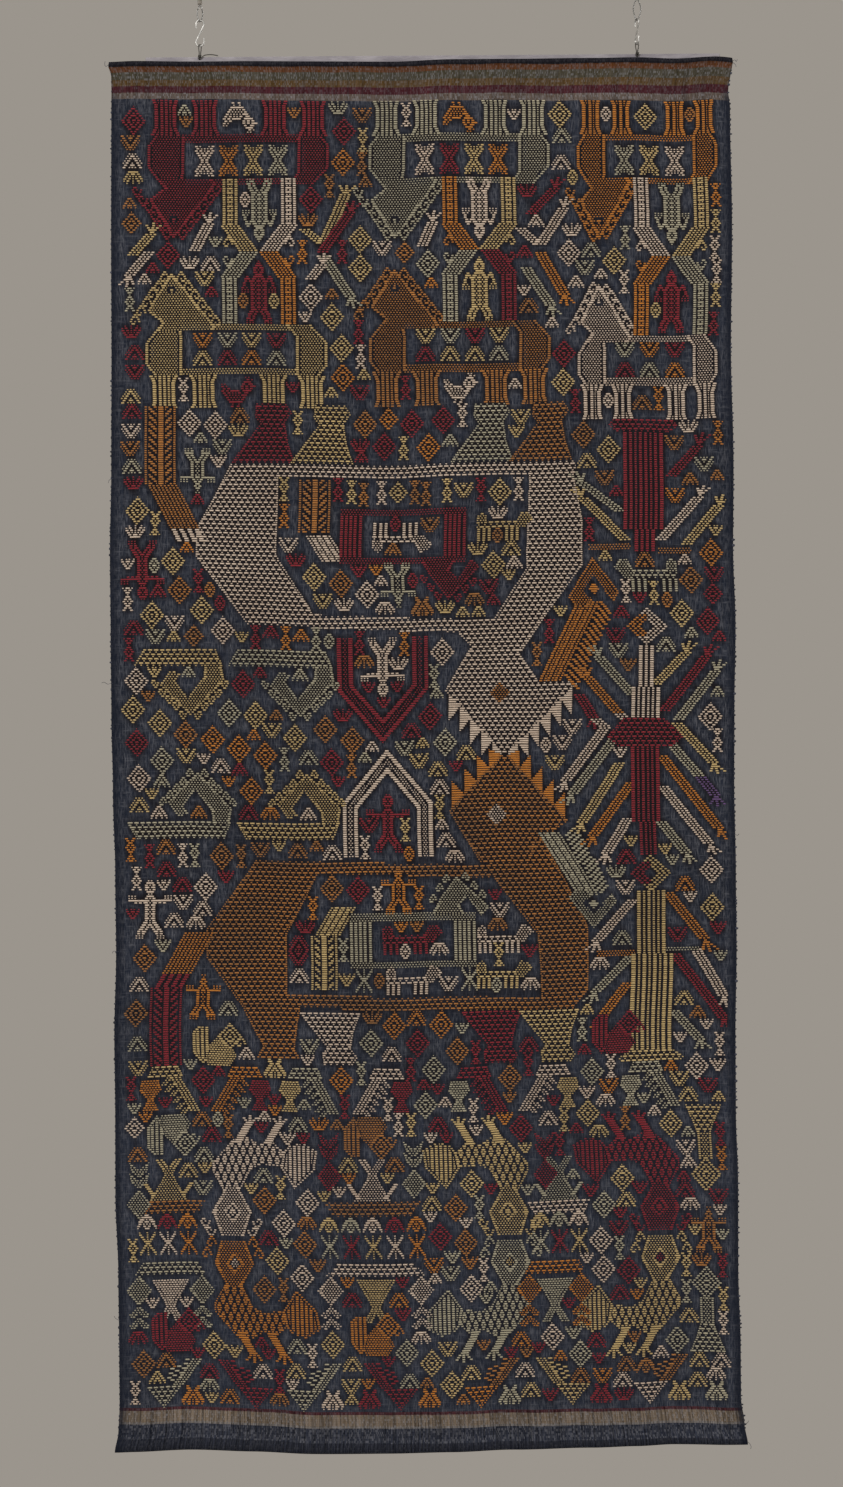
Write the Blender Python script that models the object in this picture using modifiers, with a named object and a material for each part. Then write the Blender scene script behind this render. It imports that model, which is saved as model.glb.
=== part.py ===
"""A figured indigo cloth, hung in front of a slim batten from two ceiling fittings.

Metres, +Z up. X runs to the right of the cloth's face and the face looks along -Y. The origin is
in the ceiling plane, midway between the two cables. Tables are in millimetres.
"""

import math
from collections import namedtuple

import bmesh
import bpy
from mathutils import Matrix, Vector
from mathutils.geometry import interpolate_bezier

MM = 0.001
GAP = 0.3 * MM

# The hangers
HANGER_X = 158.0 * MM
CAP_RADIUS = 4.5 * MM
CAP_HEIGHT = 8.7 * MM
CAP_BEVEL = 0.6 * MM
CABLE_RADIUS = 0.4 * MM
FERRULE_WALL = 0.45 * MM
FERRULE_HEIGHT = 8.0 * MM
HOOK_WIRE_RADIUS = 0.55 * MM
HOOK_BEND_RADIUS = 2.9 * MM
HOOK_HEIGHT = 18.9 * MM
HOOK_TIP = 3.0 * MM
LOOP_WIRE_RADIUS = 0.35 * MM

# The batten
BATTEN_LENGTH = 415.0 * MM
BATTEN_HEIGHT = 30.0 * MM
BATTEN_THICKNESS = 6.0 * MM
BATTEN_MIDDLE_X = 10.4 * MM
BATTEN_TOP_Z = -64.3 * MM
BATTEN_SLOPE = math.radians(0.4)
BATTEN_BEVEL = 0.6 * MM
HOLE_RADIUS = LOOP_WIRE_RADIUS + GAP
HOLE_BELOW_TOP = 1.7 * MM

# The cloth
CLOTH_COLUMNS = 26
CLOTH_ROWS = 30
CLOTH_BACK_Y = -(BATTEN_THICKNESS / 2 + GAP)
CLOTH_FLAT_HEADING = 34.0 * MM
CLOTH_FREE_LENGTH = 1000.0 * MM
THICKEST = 3.0 * MM

LEFT, RIGHT = -1, 1
Hanger = namedtuple("Hanger", "name side ferrule_z hook_z hook_turn splay_x splay_y spread")
HANGERS = (
    Hanger("left", LEFT, -27.4, -47.85, -8.0, 0.9, 1.2, 1.9),
    Hanger("right", RIGHT, -22.4, -46.55, -68.0, 1.15, 0.6, 2.7),
)

# The cloth's two side edges: how far down a row is, and where its two ends are.
Row = namedtuple("Row", "down left right")
SIDE_ROWS = (
    Row(0.0, -223.6, 226.6),
    Row(3.6, -223.9, 227.0),
    Row(7.0, -221.9, 226.0),
    Row(24.0, -221.7, 223.6),
    Row(36.0, -221.8, 225.0),
    Row(122.0, -221.9, 226.4),
    Row(209.0, -221.6, 225.6),
    Row(295.0, -221.8, 227.5),
    Row(353.0, -222.8, 227.2),
    Row(411.0, -222.3, 229.0),
    Row(469.0, -221.7, 228.1),
    Row(526.0, -220.5, 227.9),
    Row(584.0, -218.8, 229.0),
    Row(642.0, -218.1, 229.5),
    Row(700.0, -219.4, 228.7),
    Row(757.0, -218.8, 229.0),
    Row(815.0, -218.7, 230.7),
    Row(873.0, -216.6, 230.8),
    Row(931.0, -215.9, 232.5),
    Row(967.0, -215.6, 232.7),
    Row(985.0, -216.4, 235.2),
    Row(1000.0, -219.0, 237.6),
)

# The cloth's top and bottom edges: how high they are at each place across.
Column = namedtuple("Column", "across top bottom")
END_COLUMNS = (
    Column(-224.0, -69.3, -1073.0),
    Column(-205.0, -68.6, -1072.6),
    Column(-165.0, -69.0, -1071.4),
    Column(-120.0, -68.7, -1072.8),
    Column(-75.0, -68.9, -1074.3),
    Column(-20.0, -69.1, -1074.0),
    Column(25.0, -67.3, -1073.3),
    Column(70.0, -67.0, -1071.4),
    Column(125.0, -66.4, -1069.6),
    Column(158.0, -65.9, -1068.6),
    Column(185.0, -66.8, -1067.4),
    Column(215.0, -65.3, -1067.4),
    Column(238.0, -67.2, -1067.0),
)

# Soft upright waves: the height of each crest towards the viewer, at the heading and at the hem.
Wave = namedtuple("Wave", "across half_width top bottom")
WAVES = (
    Wave(-222.0, 30.0, 0.5, 3.4),
    Wave(-135.0, 42.0, 0.3, -1.8),
    Wave(-50.0, 48.0, 0.4, 1.6),
    Wave(45.0, 45.0, 0.3, -1.6),
    Wave(130.0, 38.0, 0.5, 1.4),
    Wave(188.0, 26.0, 0.3, -0.9),
    Wave(236.0, 30.0, 0.6, 4.2),
)

# Slow level swells over the whole width.
Swell = namedtuple("Swell", "down half_height depth")
SWELLS = (
    Swell(150.0, 60.0, 0.8),
    Swell(395.0, 90.0, -1.2),
    Swell(650.0, 80.0, 1.3),
    Swell(880.0, 70.0, -0.8),
)

# The rolled top edge, the single cloth and the doubled hem.
Ply = namedtuple("Ply", "down thickness")
ROLLED_EDGE = (
    Ply(0.0, 1.5),
    Ply(0.6, 2.6),
    Ply(1.8, 3.0),
    Ply(3.1, 2.5),
    Ply(4.0, 1.6),
)
SINGLE_PLY = 1.6
DOUBLED_HEM = (
    Ply(992.6, 1.6),
    Ply(993.4, 2.5),
    Ply(999.3, 2.6),
    Ply(1000.0, 1.9),
)

Finish = namedtuple("Finish", "colour roughness metallic")
FINISHES = {
    "indigo_cotton": Finish((0.028, 0.033, 0.056), 0.95, 0.0),
    "grey_tape": Finish((0.34, 0.33, 0.36), 0.9, 0.0),
    "dark_wire": Finish((0.07, 0.07, 0.06), 0.45, 1.0),
    "steel_wire": Finish((0.62, 0.62, 0.6), 0.25, 1.0),
}


def clear_scene():
    for old in list(bpy.data.objects):
        bpy.data.objects.remove(old)


def collection(name, shown):
    made = bpy.data.collections.new(name)
    made.hide_render = not shown
    bpy.context.scene.collection.children.link(made)
    return made


def material(name):
    finish = FINISHES[name]
    made = bpy.data.materials.new(name)
    made.use_nodes = True
    shader = made.node_tree.nodes["Principled BSDF"]
    shader.inputs["Base Color"].default_value = (*finish.colour, 1.0)
    shader.inputs["Roughness"].default_value = finish.roughness
    shader.inputs["Metallic"].default_value = finish.metallic
    made.diffuse_color = (*finish.colour, 1.0)
    return made


def between(table, key, value, x):
    """The table's value at x, eased from one row to the next."""
    before = table[0]
    for after in table:
        if x < getattr(after, key):
            run = getattr(after, key) - getattr(before, key)
            share = 0.0 if run == 0 else (x - getattr(before, key)) / run
            share = max(share, 0.0)
            eased = share * share * (3 - 2 * share)
            start, end = getattr(before, value), getattr(after, value)
            return start + (end - start) * eased
        before = after
    return getattr(before, value)


def bump(distance, half_width):
    return math.exp(-((distance / half_width) ** 2))


def cloth_depth(across, down):
    """How far the cloth's back stands towards the viewer from the batten's face, in millimetres."""
    heading = CLOTH_FLAT_HEADING / MM
    length = CLOTH_FREE_LENGTH / MM
    if down <= heading:
        return 0.0
    share = (down - heading) / (length - heading)
    ease_in = 1 - math.exp(-(down - heading) / 45.0)
    depth = 0.0
    for wave in WAVES:
        crest = wave.top + (wave.bottom - wave.top) * share
        depth += crest * bump(across - wave.across, wave.half_width)
    for swell in SWELLS:
        depth += swell.depth * bump(down - swell.down, swell.half_height)
    return depth * ease_in


def cloth_point(u, down):
    """A point of the cloth's back, u of the way across and this many millimetres down."""
    left = between(SIDE_ROWS, "down", "left", down)
    right = between(SIDE_ROWS, "down", "right", down)
    across = left + (right - left) * u
    top = between(END_COLUMNS, "across", "top", across)
    bottom = between(END_COLUMNS, "across", "bottom", across)
    share = down * MM / CLOTH_FREE_LENGTH
    z = top + (bottom - top) * share
    return Vector((across * MM, CLOTH_BACK_Y - cloth_depth(across, down) * MM, z * MM))


def cloth_rows():
    """Each row's distance down and thickness, from the rolled edge to the hem."""
    first, last = ROLLED_EDGE[-1].down, DOUBLED_HEM[0].down
    rows = list(ROLLED_EDGE)
    for i in range(1, CLOTH_ROWS):
        rows.append(Ply(first + (last - first) * i / CLOTH_ROWS, SINGLE_PLY))
    return rows + list(DOUBLED_HEM)


def make_cloth(parts, finish):
    rows = cloth_rows()
    mesh = bpy.data.meshes.new("cloth")
    shape = bmesh.new()
    bmesh.ops.create_grid(shape, x_segments=CLOTH_COLUMNS, y_segments=len(rows) - 1, size=0.5)
    places = []
    for vertex in shape.verts:
        u = vertex.co.x + 0.5
        row = rows[round((0.5 - vertex.co.y) * (len(rows) - 1))]
        places.append(row.thickness * MM / THICKEST)
        vertex.co = cloth_point(u, row.down)
    shape.to_mesh(mesh)
    shape.free()
    mesh.materials.append(finish)
    cloth = bpy.data.objects.new("cloth", mesh)
    parts.objects.link(cloth)
    plies = cloth.vertex_groups.new(name="plies")
    for index, weight in enumerate(places):
        plies.add([index], weight, "REPLACE")
    solidify = cloth.modifiers.new("plies", "SOLIDIFY")
    solidify.thickness = THICKEST
    solidify.offset = 1.0
    solidify.vertex_group = plies.name
    return cloth


def batten_top(x):
    return BATTEN_TOP_Z + math.tan(BATTEN_SLOPE) * (x - BATTEN_MIDDLE_X)


def hole_centre(hanger):
    x = hanger.side * HANGER_X
    return Vector((x, 0.0, batten_top(x) - HOLE_BELOW_TOP))


def make_batten(parts, cutters, finish):
    mesh = bpy.data.meshes.new("batten")
    shape = bmesh.new()
    bmesh.ops.create_cube(shape, size=1.0)
    bmesh.ops.scale(
        shape, vec=(BATTEN_LENGTH, BATTEN_THICKNESS, BATTEN_HEIGHT), verts=shape.verts
    )
    shape.to_mesh(mesh)
    shape.free()
    mesh.materials.append(finish)
    batten = bpy.data.objects.new("batten", mesh)
    batten.location = (BATTEN_MIDDLE_X, 0.0, BATTEN_TOP_Z - BATTEN_HEIGHT / 2)
    batten.rotation_euler.y = -BATTEN_SLOPE
    parts.objects.link(batten)
    bevel = batten.modifiers.new("soft edges", "BEVEL")
    bevel.width = BATTEN_BEVEL
    bevel.segments = 2
    for hanger in HANGERS:
        cutter_mesh = bpy.data.meshes.new(f"hole_{hanger.name}")
        drill = bmesh.new()
        bmesh.ops.create_cone(
            drill,
            cap_ends=True,
            segments=12,
            radius1=HOLE_RADIUS,
            radius2=HOLE_RADIUS,
            depth=BATTEN_THICKNESS * 2,
        )
        drill.to_mesh(cutter_mesh)
        drill.free()
        cutter = bpy.data.objects.new(f"hole_{hanger.name}", cutter_mesh)
        cutter.location = hole_centre(hanger)
        cutter.rotation_euler.x = math.radians(90)
        cutter.hide_render = True
        cutter.display_type = "WIRE"
        cutters.objects.link(cutter)
        cut = batten.modifiers.new(f"hole {hanger.name}", "BOOLEAN")
        cut.operation = "DIFFERENCE"
        cut.object = cutter
    return batten


def smooth(points, step):
    """Points about a step apart on a smooth curve through the given ones."""
    points = [Vector(point) for point in points]
    line = [points[0]]
    for i in range(len(points) - 1):
        start, end = points[i], points[i + 1]
        before = points[i - 1] if i else start
        after = points[i + 2] if i + 2 < len(points) else end
        lean_start = (end - before) / 6
        lean_end = (after - start) / 6
        count = max(1, round((end - start).length / step))
        line += interpolate_bezier(start, start + lean_start, end - lean_end, end, count + 1)[1:]
    return line


def make_tube(parts, name, points, radius, finish):
    curve = bpy.data.curves.new(name, "CURVE")
    curve.dimensions = "3D"
    curve.bevel_depth = radius
    curve.bevel_resolution = 2
    curve.use_fill_caps = True
    spline = curve.splines.new("POLY")
    spline.points.add(len(points) - 1)
    for target, point in zip(spline.points, points):
        target.co = (*point, 1.0)
    curve.materials.append(finish)
    tube = bpy.data.objects.new(name, curve)
    parts.objects.link(tube)
    return tube


def hook_points():
    """The S-hook's centre line in its own XZ plane, from the upper tip to the lower tip."""
    reach = HOOK_HEIGHT / 2 - HOOK_BEND_RADIUS
    lean = math.asin(HOOK_BEND_RADIUS / reach)
    turns = 14
    first, last = math.pi, -lean
    upper = [Vector((-HOOK_BEND_RADIUS, 0.0, reach - HOOK_TIP))]
    for i in range(turns + 1):
        angle = first + (last - first) * i / turns
        offset = Vector((math.cos(angle), 0.0, math.sin(angle))) * HOOK_BEND_RADIUS
        upper.append(Vector((0.0, 0.0, reach)) + offset)
    half_turn = Matrix.Rotation(math.pi, 3, "Y")
    return upper + [half_turn @ point for point in reversed(upper)]


def make_hook(parts, hanger, finish):
    hook = make_tube(
        parts, f"s_hook_{hanger.name}", hook_points(), HOOK_WIRE_RADIUS, finish
    )
    hook.location = (hanger.side * HANGER_X, 0.0, hanger.hook_z * MM)
    hook.rotation_euler.z = math.radians(hanger.hook_turn)
    return hook


def leg_offset():
    """Half the distance between the cable's two strands inside the ferrule."""
    return CABLE_RADIUS + GAP / 2


def cable_points(hanger):
    """From the cap down through the ferrule, round the hook's upper bend and back up."""
    x = hanger.side * HANGER_X
    hook_top = hanger.hook_z * MM + HOOK_HEIGHT / 2
    low = hook_top - HOOK_WIRE_RADIUS - GAP - CABLE_RADIUS
    sleeve = hanger.ferrule_z * MM
    height = sleeve - low
    near = hanger.splay_y * MM
    side = hanger.splay_x * MM
    wide = hanger.spread * MM
    leg = [
        (side * 0.8, near * 0.85, low + 0.45 * MM),
        (side * 1.1, near * 1.05, low + 1.6 * MM),
        (wide, near * 0.8, low + height * 0.42),
        (wide * 0.85, near * 0.4, low + height * 0.68),
        (leg_offset() * 1.3, 0.0, sleeve - 1.2 * MM),
        (leg_offset(), 0.0, sleeve + 0.6 * MM),
    ]
    right_leg = [(x + px, py, pz) for px, py, pz in leg]
    left_leg = [(x - px, -py, pz) for px, py, pz in leg]
    start = (x + leg_offset(), 0.0, -CAP_HEIGHT - GAP)
    end = (x - leg_offset(), 0.0, sleeve + FERRULE_HEIGHT - 1.0 * MM)
    route = [start, *reversed(right_leg), (x, 0.0, low), *left_leg, end]
    return smooth(route, 1.2 * MM)


def oval(width, depth, steps=8):
    """A closed outline with two straight sides and two round ends."""
    radius = depth / 2
    straight = width / 2 - radius
    points = []
    for side, turn in ((RIGHT, -90), (LEFT, 90)):
        for i in range(steps + 1):
            angle = math.radians(turn + 180 * i / steps)
            points.append(
                (side * straight + radius * math.cos(angle), radius * math.sin(angle))
            )
    return points


def make_ferrule(parts, hanger, finish):
    slot_width = 2 * (leg_offset() + CABLE_RADIUS + GAP)
    slot_depth = 2 * (CABLE_RADIUS + GAP)
    curve = bpy.data.curves.new(f"ferrule_{hanger.name}", "CURVE")
    curve.dimensions = "2D"
    curve.fill_mode = "BOTH"
    curve.extrude = FERRULE_HEIGHT / 2
    for wall in (FERRULE_WALL, 0.0):
        outline = oval(slot_width + 2 * wall, slot_depth + 2 * wall)
        spline = curve.splines.new("POLY")
        spline.points.add(len(outline) - 1)
        spline.use_cyclic_u = True
        for target, point in zip(spline.points, outline):
            target.co = (*point, 0.0, 1.0)
    curve.materials.append(finish)
    ferrule = bpy.data.objects.new(curve.name, curve)
    middle = hanger.ferrule_z * MM + FERRULE_HEIGHT / 2
    ferrule.location = (hanger.side * HANGER_X, 0.0, middle)
    parts.objects.link(ferrule)
    return ferrule


def make_cap(parts, hanger, finish):
    mesh = bpy.data.meshes.new(f"ceiling_cap_{hanger.name}")
    shape = bmesh.new()
    bmesh.ops.create_cone(
        shape,
        cap_ends=True,
        segments=32,
        radius1=CAP_RADIUS,
        radius2=CAP_RADIUS,
        depth=CAP_HEIGHT,
    )
    shape.to_mesh(mesh)
    shape.free()
    mesh.materials.append(finish)
    mesh.shade_smooth()
    mesh.set_sharp_from_angle(angle=math.radians(40))
    cap = bpy.data.objects.new(mesh.name, mesh)
    cap.location = (hanger.side * HANGER_X + leg_offset(), 0.0, -CAP_HEIGHT / 2)
    parts.objects.link(cap)
    bevel = cap.modifiers.new("soft edges", "BEVEL")
    bevel.width = CAP_BEVEL
    bevel.segments = 2
    return cap


def loop_points(hanger):
    """From the loose end up the front, over the hook's lower bend, down the back and through the hole."""
    x = hanger.side * HANGER_X
    hook_low = hanger.hook_z * MM - HOOK_HEIGHT / 2
    high = hook_low + HOOK_WIRE_RADIUS + GAP + LOOP_WIRE_RADIUS
    hole = hole_centre(hanger).z
    face = BATTEN_THICKNESS / 2 + GAP + LOOP_WIRE_RADIUS
    side = hanger.splay_x * MM
    near = hanger.splay_y * MM
    leg = [
        (side * 0.75, near * 0.85, high - 0.45 * MM),
        (side, near * 1.05, high - 1.5 * MM),
        (side * 0.85, near + 0.2 * MM, high - 3.5 * MM),
        (side * 0.5, face * 0.62, high - 6.0 * MM),
        (0.35 * MM, face, hole + 2.0 * MM),
    ]
    front = [(x - px, -py, pz) for px, py, pz in leg]
    back = [(x + px, py, pz) for px, py, pz in leg]
    loose_end = (x - 1.0 * MM, -face, hole - 0.1 * MM)
    through = [
        (x + 0.05 * MM, face, hole + 0.5 * MM),
        (x, face - 0.5 * MM, hole),
        (x, 0.0, hole),
        (x, 0.4 * MM - face, hole),
    ]
    ends = {
        "left": [
            (0.7, 0.05, 0.3),
            (2.0, 0.1, 1.7),
            (4.0, 0.1, 2.9),
            (8.6, 0.1, 3.2),
            (13.3, 0.1, 2.5),
        ],
        "right": [(0.6, 0.05, 0.2), (1.1, 0.1, 0.9)],
    }
    tail = [
        (x + px * MM, -face - py * MM, hole + pz * MM) for px, py, pz in ends[hanger.name]
    ]
    route = [loose_end, *reversed(front), (x, 0.0, high), *back, *through, *tail]
    return smooth(route, 1.0 * MM)


def main():
    clear_scene()
    parts = collection("funerary_hanging", shown=True)
    cutters = collection("cutters", shown=False)
    finishes = {name: material(name) for name in FINISHES}
    make_cloth(parts, finishes["indigo_cotton"])
    make_batten(parts, cutters, finishes["grey_tape"])
    for hanger in HANGERS:
        make_cap(parts, hanger, finishes["steel_wire"])
        make_tube(
            parts,
            f"cable_{hanger.name}",
            cable_points(hanger),
            CABLE_RADIUS,
            finishes["steel_wire"],
        )
        make_ferrule(parts, hanger, finishes["steel_wire"])
        make_hook(parts, hanger, finishes["steel_wire"])
        make_tube(
            parts,
            f"wire_loop_{hanger.name}",
            loop_points(hanger),
            LOOP_WIRE_RADIUS,
            finishes["dark_wire"],
        )


main()
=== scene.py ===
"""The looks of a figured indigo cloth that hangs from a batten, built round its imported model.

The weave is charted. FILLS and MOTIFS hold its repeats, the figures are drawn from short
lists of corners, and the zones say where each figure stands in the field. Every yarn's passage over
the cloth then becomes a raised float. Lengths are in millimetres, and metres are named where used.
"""

import math
from collections import namedtuple

import bmesh
import bpy
import numpy as np
from mathutils import Matrix, Vector
from mathutils.geometry import interpolate_bezier


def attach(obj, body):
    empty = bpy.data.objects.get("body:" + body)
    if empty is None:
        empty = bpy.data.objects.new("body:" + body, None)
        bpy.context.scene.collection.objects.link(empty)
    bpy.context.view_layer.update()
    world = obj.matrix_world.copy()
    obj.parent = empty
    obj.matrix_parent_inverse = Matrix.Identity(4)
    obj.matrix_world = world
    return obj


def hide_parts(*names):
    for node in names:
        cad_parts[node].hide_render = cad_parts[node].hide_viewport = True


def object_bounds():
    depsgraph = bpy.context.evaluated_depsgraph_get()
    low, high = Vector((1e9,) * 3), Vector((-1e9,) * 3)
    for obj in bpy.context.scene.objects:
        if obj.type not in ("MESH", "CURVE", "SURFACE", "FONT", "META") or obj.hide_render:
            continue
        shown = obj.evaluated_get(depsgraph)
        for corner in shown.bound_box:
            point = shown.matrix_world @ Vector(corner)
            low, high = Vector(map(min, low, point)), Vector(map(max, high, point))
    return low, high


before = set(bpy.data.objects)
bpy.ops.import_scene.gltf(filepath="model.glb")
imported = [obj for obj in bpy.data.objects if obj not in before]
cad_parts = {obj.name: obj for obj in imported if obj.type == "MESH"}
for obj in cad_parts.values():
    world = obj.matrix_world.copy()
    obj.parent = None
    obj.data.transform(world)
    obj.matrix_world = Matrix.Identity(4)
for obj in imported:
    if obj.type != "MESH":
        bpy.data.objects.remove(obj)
CAD_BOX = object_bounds()
MM = 0.001

# The picture, in metres
PICTURE_HEIGHT = 1.0736
PICTURE_CENTRE = (0.0022, -0.5614)
CAMERA_DISTANCE = 3.0
CAMERA_NEAREST = 0.05
SENSOR_HEIGHT = 24.0

# The cloth's own form, as in its solid
BATTEN_HALF_DEPTH = 3.0
GAP = 0.3
FACE_FROM_BATTEN = 1.4
FLAT_HEADING = 34.0
HEADING_EASE = 45.0
FREE_LENGTH = 1000.0
SIDE_DOWN = (0.0, 3.6, 7.0, 24.0, 36.0, 122.0, 209.0, 295.0, 353.0, 411.0, 469.0, 526.0, 584.0,
             642.0, 700.0, 757.0, 815.0, 873.0, 931.0, 967.0, 985.0, 1000.0)
SIDE_LEFT = (-223.6, -223.9, -221.9, -221.7, -221.8, -221.9, -221.6, -221.8, -222.8, -222.3,
             -221.7, -220.5, -218.8, -218.1, -219.4, -218.8, -218.7, -216.6, -215.9, -215.6,
             -216.4, -219.0)
SIDE_RIGHT = (226.6, 227.0, 226.0, 223.6, 225.0, 226.4, 225.6, 227.5, 227.2, 229.0, 228.1, 227.9,
              229.0, 229.5, 228.7, 229.0, 230.7, 230.8, 232.5, 232.7, 235.2, 237.6)
END_ACROSS = (-224.0, -205.0, -165.0, -120.0, -75.0, -20.0, 25.0, 70.0, 125.0, 158.0, 185.0,
              215.0, 238.0)
END_TOP = (-69.3, -68.6, -69.0, -68.7, -68.9, -69.1, -67.3, -67.0, -66.4, -65.9, -66.8, -65.3,
           -67.2)
END_BOTTOM = (-1073.0, -1072.6, -1071.4, -1072.8, -1074.3, -1074.0, -1073.3, -1071.4, -1069.6,
              -1068.6, -1067.4, -1067.4, -1067.0)
Wave = namedtuple("Wave", "across half_width top bottom")
WAVES = (
    Wave(-222.0, 30.0, 0.5, 3.4),
    Wave(-135.0, 42.0, 0.3, -1.8),
    Wave(-50.0, 48.0, 0.4, 1.6),
    Wave(45.0, 45.0, 0.3, -1.6),
    Wave(130.0, 38.0, 0.5, 1.4),
    Wave(188.0, 26.0, 0.3, -0.9),
    Wave(236.0, 30.0, 0.6, 4.2),
)
Swell = namedtuple("Swell", "down half_height depth")
SWELLS = (
    Swell(150.0, 60.0, 0.8),
    Swell(395.0, 90.0, -1.2),
    Swell(650.0, 80.0, 1.3),
    Swell(880.0, 70.0, -0.8),
)

# How thick the cloth is without its floats: the rolled edge, the single cloth, the doubled hem
PLY_DOWN = (0.0, 0.5, 1.1, 1.9, 2.7, 3.4, 3.9, 4.6, 992.7, 993.4, 996.0, 999.0, 999.7, 1000.0)
PLY_THICK = (1.1, 2.2, 2.8, 3.0, 2.8, 2.2, 1.5, 1.1, 1.1, 2.3, 2.5, 2.4, 1.8, 1.2)
PLAIN_FROM, PLAIN_TO = 7, 8

# The cloth's mesh: its columns as shares of the way across, thinned towards the edges
CLOTH_COLUMNS = 174
CLOTH_ROWS = 196
EDGE_SHARES = (0.0, 0.0012, 0.003, 0.006)
MIDDLE_FROM = 0.009
EDGE_THINNED = 0.45
EDGE_ROUND = 0.0022
# How much of the painted shade among the floats the back takes
BACK_COVER = 0.5

# The cloth's map: its face in the left half, its back in the right half
MAP_SIDE, MAP_WIDTH = 0.008, 0.484
MAP_EDGE, MAP_HEIGHT = 0.004, 0.992

# The figured field within the cloth
FIELD_MARGIN = 5.5
FIELD_TOP = 28.8
FIELD_BOTTOM = 970.4
FIELD_SLANT = 4.4
SLANT_REACH = 40
# How far round each place the float cover is counted for the painted shade among the floats
COVER_ENDS = 4
COVER_PICKS = 2

# How the picks and ends wander: how far, and how long a swing is across and down
Swing = namedtuple("Swing", "size across down")
DOWN_SWINGS = (Swing(0.45, 47, 83), Swing(0.3, 19, -31))
ACROSS_SWINGS = (Swing(0.35, 90, 37), Swing(0.2, math.inf, 11))

# The floats
FLOAT_HEIGHT = 0.5
FLOAT_SUNK = 0.1
FLOAT_HALF = 0.7
SHORT_HALF = 0.51
FLOAT_LAP = 0.12
FLOAT_STRAY = 0.05
FLOAT_HIP = 0.8
FLOAT_HIP_SHARE = 0.34
FLOAT_WIDTHS = (0.93, 1.05)
FLOAT_RISES = (0.85, 1.1)
SHORT_AND_LONG = (2, 5)
REVERSE_HEIGHT = 0.24
REVERSE_LONGEST = 16

# The hangers
HANGER_X = 158.0
CABLE_RADIUS = 0.4
STRANDS = 6
STRAND_RADIUS = CABLE_RADIUS / 3
STRAND_LAY = 3.4
LEG_OFFSET = CABLE_RADIUS + GAP / 2
HOOK_WIRE_RADIUS = 0.55
HOOK_BEND_RADIUS = 2.9
HOOK_HEIGHT = 18.9
HOOK_TIP = 3.0
HOOK_STEPS = 30
LOOP_WIRE_RADIUS = 0.35
LOOP_FACE = BATTEN_HALF_DEPTH + GAP + LOOP_WIRE_RADIUS
KNOT_STEPS = 60
KNOT_TURNS = 2.6
KNOT_RADIUS, KNOT_CHANGE, KNOT_SWINGS = 0.95, 0.15, 0.7
KNOT_DEPTH, KNOT_ASIDE = 0.75, 0.1
KNOT_FOOT, KNOT_HEIGHT = 1.2, 1.7
CAP_HEIGHT = 8.7
CAP_SIDES = 48
FERRULE_WALL = 0.45
FERRULE_HEIGHT = 8.0
FERRULE_SIDES = 40
FERRULE_LEVELS = 36
FERRULE_WAISTS, FERRULE_PRESS = 3, 0.1
FERRULE_END_WALL, FERRULE_END_RISE = 0.86, 2.2
FERRULE_DEPTH_SHARE = 0.98
BORE_SLACK, BORE_SHARE = 0.6, 0.93
BATTEN_TOP_Z = -64.3
BATTEN_MIDDLE_X = 10.4
BATTEN_SLOPE = math.radians(0.4)
HOLE_BELOW_TOP = 1.7
DULLED = 0.72
Hanger = namedtuple("Hanger", "name side ferrule_z hook_z hook_turn splay_x splay_y spread")
HANGERS = (
    Hanger("left", -1, -27.4, -47.85, -8.0, 0.9, 1.2, 1.9),
    Hanger("right", 1, -22.4, -46.55, -68.0, 1.15, 0.6, 2.7),
)

# The chart of the field: one row for each pattern pick, one column for each warp end

FIELD_WIDTH = 443.0
FIELD_HEIGHT = 948.0
END_PITCH = 0.55
PICK_PITCH = 1.6
ENDS = round(FIELD_WIDTH / END_PITCH)
PICKS = round(FIELD_HEIGHT / PICK_PITCH)
ENDS_A_CELL = 2
END = np.arange(ENDS)[None, :]
PICK = np.arange(PICKS)[:, None]
ACROSS = (END + 0.5) * END_PITCH
DOWN = (PICK + 0.5) * PICK_PITCH
CHART = np.zeros((PICKS, ENDS), np.int8)

CREAM, RED, ORANGE, YELLOW, GREEN, BROWN, VIOLET = range(1, 8)
SMALL_YARNS = (CREAM, RED, ORANGE, YELLOW, GREEN)
SCATTER_YARNS = (CREAM,) * 3 + (RED,) * 3 + (YELLOW,) * 3 + (GREEN,) * 2 + (BROWN,) * 2 + (ORANGE,)


def marks(text):
    """A repeat from its rows: an X where the yarn lies over the cloth."""
    return np.array([list(row) for row in text.split()]) == "X"


# Repeats for filling a form: a row for each pick, a mark for each warp end
FILLS = {
    "solid": marks("X"),
    "triangles": marks("XXXXXX.. ..XX.... XX..XXXX ......XX"),
    "roofs": marks("..XX.... XXXXXX.. ......XX XX..XXXX"),
    "checker": marks("XXX. X.XX"),
    "laced": marks("XX.. ..XX"),
    "braid": marks("XXXXXXXX XXX..XXX XXXXXXXX .XX..XX."),
    "pins": marks("XXXX.."),
    "scales": marks("X..XXX..XX ..XXXXX... .XXX.XXX.. ..XXXXX... "
                    "X..XXX..XX XX.....XXX XXX...XXX. XX.....XXX"),
}

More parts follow.
